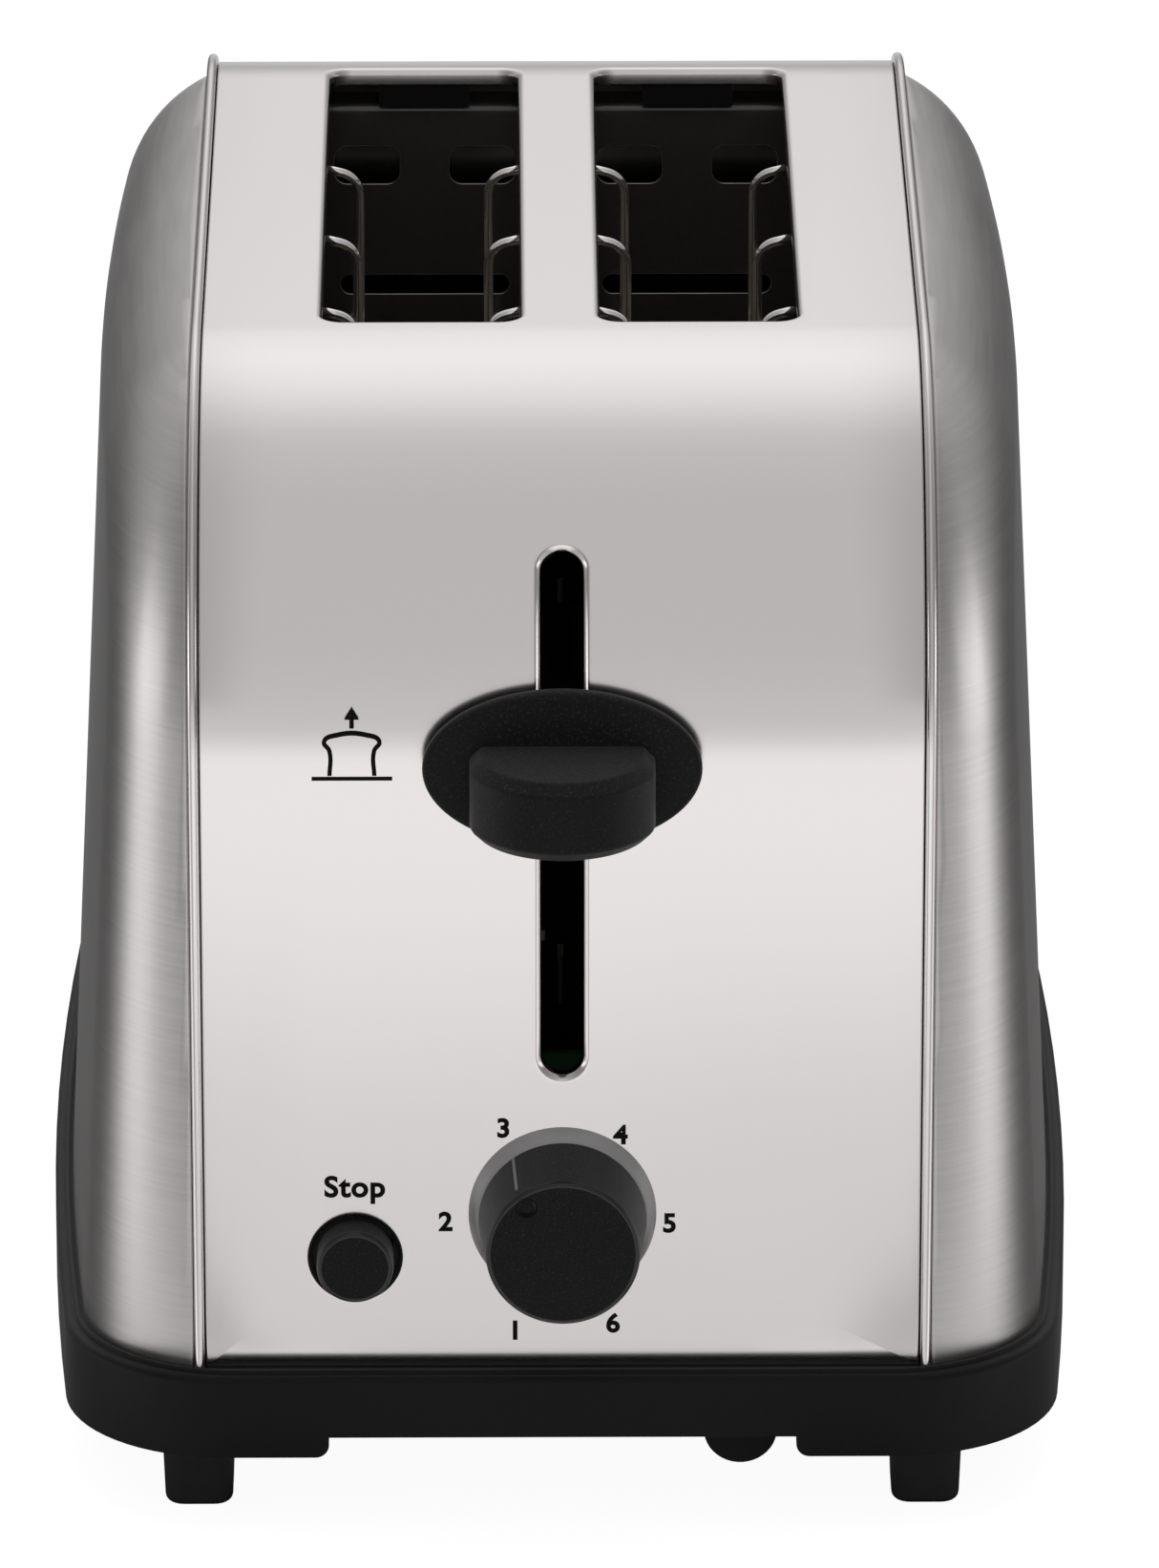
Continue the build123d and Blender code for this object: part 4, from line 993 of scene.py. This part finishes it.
class TOASTER_OT_lever(bpy.types.Operator):
    """Lever handle: an oval plate with a bevelled grip"""

    bl_idname = "toaster.lever"
    bl_label = "Lever handle"

    def execute(self, context):
        sizes = context.scene.toaster_controls
        black, slot = finish("control_plastic"), "control_plastic"
        make_piece(self.plate(sizes), "lever_plate", black, "carriage", ["lever_handle"], sharp=50)
        grip = make_piece(self.grip(sizes), "lever_grip", black, "carriage", sharp=25)
        add_bevel(grip, sizes.grip_soft, 3, 25)
        return {"FINISHED"}

    def plate(self, sizes):
        """Oval plate with rounded edges."""
        bm = bmesh.new()
        edge = sizes.plate_edge
        outline = [(edge * math.sin(a) - edge, edge - edge * math.cos(a)) for a in steps_of(5)]
        face = sizes.plate_depth - edge
        outline += [(edge * math.cos(a) - edge, face + edge * math.sin(a)) for a in steps_of(5)]
        loops = []
        for inset, height in outline:
            loop = ring(bm, 1.0, height, KNOB_SIDES)
            across, up = sizes.plate_width / 2 + inset, sizes.plate_height / 2 + inset
            bmesh.ops.scale(bm, vec=(across, up, 1), verts=loop_verts(loop))
            loops.append(loop)
        bridge(bm, loops)
        close(bm, loops[0], loops[-1])
        upright(bm, (0, LEVER_HIGH.y, LEVER_Z))
        turn_out(bm)
        return bm

    def grip(self, sizes):
        """D-shaped grip, bevelled above and below."""
        bm = bmesh.new()
        root = LEVER_HIGH.y - sizes.plate_edge / 4
        shoulder = LEVER_HIGH.y - sizes.plate_depth - sizes.grip_straight
        nose = LEVER_LOW.y
        half = sizes.grip_width / 2
        low = LEVER_Z - sizes.grip_drop - sizes.grip_height / 2 + sizes.grip_bevel
        rectangle(bm, sizes.grip_width, root - shoulder, (0, (root + shoulder) / 2, low))
        near = [e for e in bm.edges if max(v.co.y for v in e.verts) < shoulder + MERGE]
        bmesh.ops.subdivide_edges(bm, edges=near, cuts=GRIP_CUTS)
        sag = shoulder - nose
        arc = (half**2 + sag**2) / (2 * sag)
        for vert in bm.verts:
            if vert.co.y < shoulder + MERGE:
                vert.co.y = nose + arc - math.sqrt(arc**2 - vert.co.x**2)
        corners = [v for v in bm.verts if abs(v.co.x) > half - MERGE and v.co.y < root - MERGE]
        rounded(bm, corners, sizes.grip_corner / 2, SOFT_STEPS, "VERTICES")
        grown = bmesh.ops.extrude_face_region(bm, geom=bm.faces[:])["geom"]
        ends = picked(grown, bmesh.types.BMVert)
        bmesh.ops.translate(bm, vec=(0, 0, sizes.grip_height - 2 * sizes.grip_bevel), verts=ends)
        turn_out(bm)
        bevel = sizes.grip_bevel
        for way in (1, -1):
            cap = max(bm.faces, key=lambda f: way * f.calc_center_median().z)
            bmesh.ops.inset_region(bm, faces=[cap], thickness=bevel, depth=bevel, use_even_offset=True)
        turn_out(bm)
        return bm


class TOASTER_OT_knob(bpy.types.Operator):
    """Browning knob with its dimple and pointer line, and the collar behind it"""

    bl_idname = "toaster.knob"
    bl_label = "Browning knob"

    def execute(self, context):
        sizes = context.scene.toaster_controls
        black, slot = finish("control_plastic"), "control_plastic"
        paint, grey = finish("pointer_paint"), finish("collar_metal")
        pieces = (
            make_piece(self.cap(sizes), "knob", black, "knob", ["browning_knob"], sharp=50),
            make_piece(self.pointer(sizes), "knob_pointer", paint, "knob"),
            make_piece(
                self.collar(sizes), "collar", grey, "knob", ["knob_collar"], sharp=50
            ),
        )
        for piece in pieces:
            piece.visible_glossy = False
        nose, rubbed = KNOB_LOW.y + sizes.knob_edge, finish("rubbed_plastic")
        repaint(pieces[0], rubbed, lambda c: c.y < nose and self.off_axis(c) > self.face(sizes))
        # The dimple's wall is painted black with the ink as painted shade
        repaint(pieces[0], finish("ink"), lambda c: KNOB_LOW.y < c.y - MERGE and self.in_dimple(c, sizes))
        return {"FINISHED"}

    def off_axis(self, spot):
        """Distance of a point from the knob's axis."""
        return math.hypot(spot.x, spot.z - KNOB_Z)

    def face(self, sizes):
        """Radius of the flat of the knob's face."""
        return KNOB_HIGH.x - sizes.knob_draft - sizes.knob_edge

    def dimple(self, sizes):
        """Middle of the dimple, across and up from the knob's axis."""
        reach, angle = sizes.dimple_reach, sizes.pointer_angle
        return -reach * math.sin(angle), reach * math.cos(angle)

    def in_dimple(self, spot, sizes):
        """Whether a point lies on the dimple's wall, which is painted black as shade."""
        x, z = self.dimple(sizes)
        away = math.hypot(spot.x - x, spot.z - KNOB_Z - z)
        return spot.y < KNOB_LOW.y + 2 * sizes.dimple_depth and sizes.dimple_radius / 2 < away < (
            sizes.dimple_radius + sizes.soft_edge
        )

    def cap(self, sizes):
        """Hollow cap with a dimple in its face."""
        bm = bmesh.new()
        radius, soft, edge = KNOB_HIGH.x, sizes.soft_edge, sizes.knob_edge
        root, length = sizes.collar_depth + soft, COLLAR_HIGH.y - KNOB_LOW.y
        nose, inner = radius - sizes.knob_draft, radius - sizes.knob_wall
        stations = [(inner - sizes.knob_draft, length - sizes.knob_wall), (inner, root)]
        stations += [(radius - soft, root), (radius, root + soft)]
        stations += [
            (nose - edge + edge * math.cos(a), length - edge + edge * math.sin(a)) for a in steps_of(8)
        ]
        loops = lathe(bm, stations, KNOB_SIDES)
        dip = sizes.dimple_radius
        floor = length - sizes.dimple_depth
        hollow = [(dip + soft, length), (dip, length - soft / 3), (dip - soft, floor)]
        dimple = lathe(bm, hollow, DIMPLE_SIDES, self.dimple(sizes))
        close(bm, loops[0], dimple[-1])
        bmesh.ops.triangle_fill(bm, edges=loops[-1] + dimple[0], use_beauty=True, normal=(0, 0, 1))
        upright(bm, (0, COLLAR_HIGH.y, KNOB_Z))
        bmesh.ops.remove_doubles(bm, verts=bm.verts, dist=MERGE)
        face_outwards(bm, 1, -1)
        return bm

    def pointer(self, sizes):
        """Painted line on the knob's side, laid into it."""
        bm = bmesh.new()
        sunk = sizes.soft_edge
        cube = block(bm, (sizes.pointer_width, sizes.pointer_length, sunk))
        root = COLLAR_HIGH.y - sizes.collar_depth
        slope = sizes.knob_draft / (root - KNOB_LOW.y)
        away = 2 * sizes.soft_edge + sizes.pointer_length / 2
        place = Matrix.Translation((0, root - away, KNOB_HIGH.x - slope * away - sunk / 2 + INK_HEIGHT))
        turned = Matrix.Rotation(-sizes.pointer_angle, 4, "Y")
        centre = Matrix.Translation((0, 0, KNOB_Z))
        lean = Matrix.Rotation(math.atan(slope), 4, "X")
        bmesh.ops.transform(bm, matrix=centre @ turned @ place @ lean, verts=cube)
        return bm

    def collar(self, sizes):
        """Conical collar between the band and the knob."""
        bm = bmesh.new()
        depth, soft = sizes.collar_depth, sizes.soft_edge
        wide, narrow = COLLAR_HIGH.x, KNOB_HIGH.x
        stations = [
            (narrow - sizes.collar_wall, 0.0),
            (wide - soft, 0.0),
            (wide, soft),
            (narrow + soft, depth - soft / 2),
            (narrow, depth),
            (narrow - sizes.collar_wall, depth),
        ]
        loops = lathe(bm, stations, KNOB_SIDES)
        bridge(bm, [loops[-1], loops[0]])
        upright(bm, (0, COLLAR_HIGH.y, KNOB_Z))
        turn_out(bm)
        return bm


class TOASTER_OT_stop_button(bpy.types.Operator):
    """Stop button with its rounded edge and the flange that keeps it behind the band"""

    bl_idname = "toaster.stop_button"
    bl_label = "Stop button"

    def execute(self, context):
        sizes = context.scene.toaster_controls
        sheet = context.scene.toaster_body.sheet
        bm = bmesh.new()
        radius, edge = sizes.stop_radius, sizes.stop_edge
        tall = FRONT - STOP_LOW.y
        front = -sheet - sizes.soft_edge
        back = front - sizes.stop_flange_depth
        wide = radius + sizes.stop_flange
        stations = [(wide, back), (wide, front), (radius, front)]
        stations += [
            (radius - edge + edge * math.cos(a), tall - edge + edge * math.sin(a)) for a in steps_of(6)
        ]
        loops = lathe(bm, stations, BUTTON_SIDES)
        close(bm, loops[0], loops[-1])
        upright(bm, (STOP_X, FRONT, STOP_Z))
        turn_out(bm)
        black, slot = finish("control_plastic"), "control_plastic"
        cap = make_piece(bm, "stop_cap", black, "stop", ["stop_button"], sharp=50)
        nose, flat = STOP_LOW.y + edge, radius - edge
        rubbed = finish("rubbed_plastic")
        repaint(cap, rubbed, lambda c: c.y < nose and math.hypot(c.x - STOP_X, c.z - STOP_Z) > flat)
        return {"FINISHED"}


# Bread guides and return spring

# Heights of the level ties, and how far they sink into the uprights
TIE_HEIGHTS = (LEDGE + 0.036, TOP - 0.052)
WELD = 0.0002
# How much a wire's end narrows
WIRE_TIP = 0.6
# Steps in the bend of a wire, and in a turn of the spring
FLARE_STEPS = 8
SPRING_STEPS = 32


def rod_ring(bm, radius, centre, turned):
    """Closed end that a wire grows from, lying level or facing along the toaster."""
    place = Matrix.Translation(centre)
    if turned:
        place = place @ Matrix.Rotation(math.pi / 2, 4, "X")
    verts = bmesh.ops.create_circle(bm, radius=radius, segments=WIRE_SIDES, matrix=place)["verts"]
    edges = loop_edges(verts)
    close(bm, edges)
    return edges


def close_end(bm, edges, move):
    """Rounds off the end of a wire."""
    edges = grow(bm, edges, move)
    verts = loop_verts(edges)
    centre = sum((v.co for v in verts), Vector()) / len(verts)
    bmesh.ops.scale(bm, vec=(WIRE_TIP,) * 3, space=Matrix.Translation(-centre), verts=verts)
    close(bm, edges)


class TOASTER_OT_bread_guides(bpy.types.Operator):
    """Wire bread guides with flared tops, welded to level ties"""

    bl_idname = "toaster.bread_guides"
    bl_label = "Bread guides"

    def execute(self, context):
        sizes = context.scene.toaster_guides
        body = context.scene.toaster_body
        plated = finish("guide_wire")
        for place, side in (("left", -1), ("right", 1)):
            for wall, outward in (("outer", side), ("inner", -side)):
                name = f"bread_guide_{place}_{wall}"
                x = side * body.bread_slot_spacing / 2 + outward * sizes.half_spread
                bm = self.guide(name, x, outward, sizes)
                make_piece(bm, f"guide_{place}_{wall}", plated, "housing", [name], sharp=60)
        return {"FINISHED"}

    def guide(self, name, x, outward, sizes):
        """Uprights and ties of one guide."""
        low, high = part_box(name)
        radius = sizes.wire_radius
        bm = bmesh.new()
        first = low.y + sizes.wire_start
        turn_angle = math.pi / 2 - math.atan2(sizes.flare_rise, sizes.flare_reach)
        tangent = sizes.flare_radius * math.tan(turn_angle / 2)
        bend_z = TOP - sizes.top_depth - tangent
        tail = math.hypot(sizes.flare_reach, sizes.flare_rise) - tangent - radius / 2
        away = Vector((outward * math.sin(turn_angle), 0, math.cos(turn_angle)))
        for wire in range(sizes.wire_count):
            y = first + wire * sizes.wire_spacing
            edges = rod_ring(bm, radius, (x, y, low.z), False)
            edges = grow(bm, edges, (0, 0, bend_z - low.z))
            centre = (x + outward * sizes.flare_radius, y, bend_z)
            edges = swing(bm, edges, centre, (0, 1, 0), outward * turn_angle, FLARE_STEPS)
            edges = grow(bm, edges, away * tail)
            close_end(bm, edges, away * radius / 2)
        for z in TIE_HEIGHTS:
            edges = rod_ring(bm, radius, (x + outward * (2 * radius - WELD), low.y, z), True)
            close(bm, grow(bm, edges, (0, high.y - low.y, 0)))
        turn_out(bm)
        return bm


class TOASTER_OT_return_spring(bpy.types.Operator):
    """Return spring, a fixed coil with a closed turn at each end"""

    bl_idname = "toaster.return_spring"
    bl_label = "Return spring"

    def execute(self, context):
        sizes = context.scene.toaster_spring
        low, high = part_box("return_spring")
        wire, flat = sizes.wire_radius, sizes.end_pitch
        x, y = (low.x + high.x) / 2, (low.y + high.y) / 2
        bm = bmesh.new()
        edges = rod_ring(bm, wire, (high.x - wire, y, low.z + wire), True)
        rise = high.z - low.z - 2 * wire - 2 * flat
        for turns, height in ((1, flat), (sizes.turns, rise), (1, flat)):
            steps = turns * SPRING_STEPS
            lift = (0, 0, height / steps)
            edges = swing(bm, edges, (x, y, 0), (0, 0, 1), 2 * math.pi * turns, steps, lift)
        close(bm, edges)
        bmesh.ops.remove_doubles(bm, verts=bm.verts, dist=MERGE)
        turn_out(bm)
        steel = finish("rod_steel")
        spring = make_piece(bm, "spring", steel, None, ["return_spring"], sharp=60)
        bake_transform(spring)
        return {"FINISHED"}


# Marks printed on the band

# Strokes of the pop-up sign on a unit high square; an r after a point makes it round, c closes the stroke
POP_UP_STROKES = (
    "-0.54,0 0.54,0",
    "-0.30,0.04 -0.30,0.40r -0.37,0.53r -0.20,0.62r 0.20,0.62r 0.37,0.53r 0.30,0.40r 0.30,0.04",
    "0,0.72 0,0.95",
    "-0.075,0.86 0,0.98 0.075,0.86 c",
)
# Where the numbers stand, across and up from the floor
NUMBER_PLACES = (
    (-0.0087, 0.0383),
    (-0.0214, 0.0601),
    (-0.0108, 0.0787),
    (0.0106, 0.0773),
    (0.0196, 0.0597),
    (0.0093, 0.0397),
)
# Height of a capital letter for a text size of one, and how far apart letters stand
CAPITAL = 0.66
LETTER_SPACING = 1.07
# Steps in a curve of a mark
CURVE_STEPS = 6


class TOASTER_OT_marks(bpy.types.Operator):
    """Numbers round the knob, the stop label and the pop-up sign"""

    bl_idname = "toaster.marks"
    bl_label = "Printed marks"

    def execute(self, context):
        sizes = context.scene.toaster_marks
        black = finish("ink")
        for digit, place in enumerate(NUMBER_PLACES, 1):
            curve = self.label(str(digit), sizes.number_height, sizes.boldness)
            self.print_on(curve, f"mark_{digit}", sizes.number_height, place, black)
        stop = (STOP_X, STOP_Z + sizes.stop_label_rise)
        curve = self.label("Stop", sizes.letter_height, sizes.boldness)
        self.print_on(curve, "mark_stop", sizes.letter_height, stop, black)
        pop = (STOP_X, LEVER_Z + sizes.sign_rise)
        curve = self.sign(sizes.sign_height, sizes.sign_stroke)
        flatness = 2 * INK_HEIGHT / sizes.sign_stroke
        self.print_on(curve, "mark_pop_up", sizes.sign_height, pop, black, flatness)
        return {"FINISHED"}

    def label(self, text, height, boldness):
        """Plain characters."""
        curve = bpy.data.curves.new("label", "FONT")
        curve.body = text
        curve.size = height / CAPITAL
        curve.space_character = LETTER_SPACING
        curve.offset = boldness
        curve.extrude = INK_HEIGHT
        curve.resolution_u = CURVE_STEPS
        return curve

    def sign(self, height, stroke):
        """Slice of bread with an arrow, in round strokes."""
        curve = bpy.data.curves.new("sign", "CURVE")
        curve.dimensions = "3D"
        curve.resolution_u = CURVE_STEPS
        curve.bevel_depth = stroke / 2
        curve.bevel_resolution = 2
        curve.use_fill_caps = True
        for line in POP_UP_STROKES:
            self.stroke(curve, line.split(), height)
        return curve

    def print_on(self, curve, name, height, place, black, flatness=1.0):
        """Lays a curve on the band's face as a mesh, flattened by a share."""
        drawn = bpy.data.objects.new(name, curve)
        mesh = bpy.data.meshes.new_from_object(drawn)
        bpy.data.objects.remove(drawn)
        across = [v.co.x for v in mesh.vertices]
        centre = Matrix.Translation((-(min(across) + max(across)) / 2, -height / 2, 0))
        flat = Matrix.Diagonal((1, 1, flatness, 1))
        forwards = Matrix.Translation((place[0], FRONT, place[1])) @ Matrix.Rotation(math.pi / 2, 4, "X")
        mesh.transform(forwards @ flat @ centre)
        bm = bmesh.new()
        bm.from_mesh(mesh)
        bpy.data.meshes.remove(mesh)
        bmesh.ops.remove_doubles(bm, verts=bm.verts, dist=INK_HEIGHT / 100)
        turn_out(bm)
        make_piece(bm, name, black, "housing", sharp=80)

    def stroke(self, curve, points, height):
        """One stroke of the sign, with straight or round runs between its points."""
        closed = points[-1] == "c"
        points = points[:-1] if closed else points
        spline = curve.splines.new("BEZIER")
        spline.bezier_points.add(len(points) - 1)
        spline.use_cyclic_u = closed
        for knot, point in zip(spline.bezier_points, points):
            x, y = (float(part) for part in point.rstrip("r").split(","))
            knot.co = (x * height, y * height, 0)
            kind = "AUTO" if point.endswith("r") else "VECTOR"
            knot.handle_left_type = knot.handle_right_type = kind


# Finishes of the pieces that keep their CAD form

# Slots whose finish has another name, and the pieces behind the lever slot, which get near-black painted
# shade
SLOT_FINISHES = {"black_plastic": "base_plastic", "chassis_steel": "chassis_coat"}
SHADED_NODES = ("lever_arm", "carriage_bracket", "rod_bracket")


class TOASTER_OT_finishes(bpy.types.Operator):
    """Finishes of the base, the feet and everything inside"""

    bl_idname = "toaster.finishes"
    bl_label = "Finishes"

    def execute(self, context):
        made = {}
        for entry in frame["record"]["subparts"]:
            name, slot = entry["node"], entry["material_slot"]
            # The pieces behind the lever slot take near-black painted shade
            look = "chassis_dull" if name in SHADED_NODES else SLOT_FINISHES.get(slot, slot)
            if look not in made:
                made[look] = finish(look)
            mesh = frame["nodes"][name].data
            mesh.materials.clear()
            mesh.materials.append(made[look])
        return {"FINISHED"}


# Stage

# Greys of the studio that metal mirrors, from the front horizon over the top to the back one
SKY_GREYS = (
    (0.0, 0.68),
    (0.10, 0.63),
    (0.40, 0.62),
    (0.53, 0.68),
    (0.66, 1.00),
    (0.75, 1.10),
    (0.86, 1.00),
    (0.92, 0.75),
    (0.97, 0.50),
    (1.0, 0.35),
)
# Point before a front corner that the gleam in a side panel is laid out from
CORNER_X, CORNER_Y = PANEL_LOW.x - 0.030, FRONT - 0.050
# Where the gleam in the band begins
AHEAD_Y = FRONT - 0.025
# Share of the sky's grey, from straight ahead out to the sides
SKY_SIDEWAYS = ((0.0, 1.0), (0.08, 0.98), (0.20, 0.76), (0.35, 0.62), (0.7, 0.44), (1.0, 0.36))
# Gleam of the floor in the panels, from straight in front round a front corner to straight behind
FLOOR_ROUND = (
    (0.0, 0.0),
    (0.177, 0.0),
    (0.263, 0.23),
    (0.323, 0.38),
    (0.403, 0.45),
    (0.473, 0.62),
    (0.522, 0.97),
    (0.565, 1.32),
    (0.595, 1.12),
    (0.625, 0.62),
    (0.66, 0.25),
    (0.70, 0.08),
    (0.74, 0.0),
    (0.93, 0.0),
    (0.975, 0.45),
    (1.0, 0.50),
)
# Gleam of the floor in the band, from the front face outwards, and how it fades to the sides
FLOOR_AHEAD = (
    (0.0, 0.66),
    (0.16, 0.70),
    (0.24, 0.85),
    (0.33, 0.98),
    (0.42, 0.94),
    (0.60, 0.70),
    (1.0, 0.58),
)
FLOOR_ASIDE = ((0.0, 1.0), (0.16, 1.0), (0.30, 0.0))
FLOOR_HALF = 14
# Soft boxes: name, place, aim, width, height, power, and whether metal mirrors them
LAMPS = (
    ("overhead", (0, -0.1, 1.5), (0, 0, 0.1), 1.6, 1.2, 6.0, False),
    ("left", (-1.25, -0.15, 0.16), (0, -0.1, 0.14), 0.5, 0.36, 0.7, True),
    ("right", (1.25, -0.15, 0.16), (0, -0.1, 0.14), 0.5, 0.36, 0.7, True),
)
SENSOR_WIDTH = 36
NEAREST, FARTHEST = 0.05, 60
WHITE = (1, 1, 1, 1)


class TOASTER_OT_stage(bpy.types.Operator):
    """Pale floor, soft studio light and the camera"""

    bl_idname = "toaster.stage"
    bl_label = "Stage"

    def execute(self, context):
        settings = context.scene.toaster_stage
        self.floor(settings)
        self.world()
        for lamp in LAMPS:
            self.lamp(*lamp)
        self.camera(settings)
        context.scene.view_settings.view_transform = "Standard"
        return {"FINISHED"}

    def floor(self, settings):
        """Plain pale floor that looks white and keeps the toaster's shadow."""
        bm = bmesh.new()
        bmesh.ops.create_grid(bm, x_segments=8, y_segments=8, size=FLOOR_HALF)
        mesh = bpy.data.meshes.new("floor")
        bm.to_mesh(mesh)
        bm.free()
        floor = bpy.data.objects.new("floor", mesh)
        bpy.context.scene.collection.objects.link(floor)
        material = finish("floor")
        mesh.materials.append(material)
        tree = material.node_tree
        shader = tree.nodes["Principled BSDF"]
        path = node(tree, "LightPath").outputs
        spot = node(tree, "SeparateXYZ", {0: node(tree, "TexCoord").outputs["Object"]}).outputs
        outer = calc(tree, "ADD", calc(tree, "ABSOLUTE", spot[0]), -CORNER_X)
        outer = calc(tree, "MAXIMUM", outer, 0.0)
        ahead = calc(tree, "SUBTRACT", AHEAD_Y, spot[1])
        aside = calc(tree, "ARCTAN2", outer, ahead)
        beyond = calc(tree, "SUBTRACT", CORNER_Y, spot[1])
        angle = calc(tree, "ARCTAN2", outer, beyond)
        near = graded(tree, ahead, (0.0, 1.0), FLOOR_AHEAD)
        front = calc(tree, "MULTIPLY", near, graded(tree, aside, (0.0, math.pi), FLOOR_ASIDE))
        gleam = calc(tree, "MAXIMUM", front, graded(tree, angle, (0.0, math.pi), FLOOR_ROUND))
        in_metal = calc(tree, "MULTIPLY", gleam, path["Is Glossy Ray"])
        seen = calc(tree, "MAXIMUM", path["Is Camera Ray"], path["Is Transmission Ray"])
        glow = calc(tree, "MULTIPLY_ADD", seen, settings.floor_white, in_metal)
        tree.links.new(glow, shader.inputs["Emission Strength"])
        shader.inputs["Emission Color"].default_value = WHITE

    def world(self):
        """Even studio surround, white to the camera and graded where metal mirrors it."""
        world = bpy.data.worlds.new("studio")
        bpy.context.scene.world = world
        world.use_nodes = True
        tree = world.node_tree
        back = tree.nodes["Background"]
        way = node(tree, "SeparateXYZ", {0: node(tree, "TexCoord").outputs["Generated"]}).outputs
        angle = calc(tree, "ARCTAN2", way[2], calc(tree, "MULTIPLY", way[1], -1.0))
        over = graded(tree, angle, (0.0, math.pi), SKY_GREYS)
        sideways = graded(tree, calc(tree, "ABSOLUTE", way[0]), (0.0, 1.0), SKY_SIDEWAYS)
        grey = calc(tree, "MULTIPLY", over, sideways)
        seen = node(tree, "LightPath").outputs["Is Camera Ray"]
        tree.links.new(blend(tree, seen, grey, WHITE), back.inputs["Color"])
        back.inputs["Strength"].default_value = 1.0

    def lamp(self, name, place, aim, width, height, power, mirrors):
        """Soft box that faces a point."""
        light = bpy.data.lights.new(name, "AREA")
        light.shape = "RECTANGLE"
        light.size = width
        light.size_y = height
        light.energy = power
        box = bpy.data.objects.new(name, light)
        box.location = place
        box.visible_glossy = mirrors
        box.rotation_euler = (Vector(aim) - Vector(place)).to_track_quat("-Z", "Y").to_euler()
        bpy.context.scene.collection.objects.link(box)

    def camera(self, settings):
        """Camera at the photograph's angle."""
        lens = bpy.data.cameras.new("camera")
        lens.lens = settings.lens
        lens.sensor_width = SENSOR_WIDTH
        lens.clip_start, lens.clip_end = NEAREST, FARTHEST
        camera = bpy.data.objects.new("camera", lens)
        aim = Vector((settings.aim_across, FRONT + settings.aim_behind, settings.aim_height))
        level_share = math.cos(settings.elevation)
        across, along = math.sin(settings.azimuth), -math.cos(settings.azimuth)
        back = Vector((across * level_share, along * level_share, math.sin(settings.elevation)))
        camera.location = aim + back * settings.distance
        camera.rotation_euler = (-back).to_track_quat("-Z", "Y").to_euler()
        bpy.context.scene.collection.objects.link(camera)
        bpy.context.scene.camera = camera


class TOASTER_PT_panel(bpy.types.Panel):
    """Lists the operators in the order they are run"""

    bl_label = "Toaster"
    bl_idname = "TOASTER_PT_panel"
    bl_space_type = "VIEW_3D"
    bl_region_type = "UI"
    bl_category = "Toaster"

    def draw(self, context):
        for operator in OPERATORS:
            self.layout.operator(operator.bl_idname)
        for name in SETTINGS:
            group = getattr(context.scene, name)
            for key in group.__annotations__:
                self.layout.prop(group, key)


SETTINGS = {
    "toaster_body": BodySizes,
    "toaster_controls": ControlSizes,
    "toaster_guides": GuideSizes,
    "toaster_spring": SpringSizes,
    "toaster_feet": FootSizes,
    "toaster_marks": MarkSizes,
    "toaster_finishes": Finishes,
    "toaster_stage": StageSettings,
}
OPERATORS = (
    TOASTER_OT_band,
    TOASTER_OT_side_panels,
    TOASTER_OT_slot_tabs,
    TOASTER_OT_chassis_plates,
    TOASTER_OT_base_bead,
    TOASTER_OT_feet,
    TOASTER_OT_lever,
    TOASTER_OT_knob,
    TOASTER_OT_stop_button,
    TOASTER_OT_bread_guides,
    TOASTER_OT_return_spring,
    TOASTER_OT_marks,
    TOASTER_OT_finishes,
    TOASTER_OT_stage,
)


def register():
    for name, group in SETTINGS.items():
        bpy.utils.register_class(group)
        setattr(bpy.types.Scene, name, PointerProperty(type=group))
    for operator in OPERATORS:
        bpy.utils.register_class(operator)
    bpy.utils.register_class(TOASTER_PT_panel)


def unregister():
    bpy.utils.unregister_class(TOASTER_PT_panel)
    for operator in reversed(OPERATORS):
        bpy.utils.unregister_class(operator)
    for name, group in reversed(SETTINGS.items()):
        delattr(bpy.types.Scene, name)
        bpy.utils.unregister_class(group)


def main():
    register()
    bpy.ops.toaster.band()
    bpy.ops.toaster.side_panels()
    bpy.ops.toaster.slot_tabs()
    bpy.ops.toaster.chassis_plates()
    bpy.ops.toaster.base_bead()
    bpy.ops.toaster.feet()
    bpy.ops.toaster.lever()
    bpy.ops.toaster.knob()
    bpy.ops.toaster.stop_button()
    bpy.ops.toaster.bread_guides()
    bpy.ops.toaster.return_spring()
    bpy.ops.toaster.marks()
    bpy.ops.toaster.finishes()
    bpy.ops.toaster.stage()


if __name__ == "__main__":
    main()
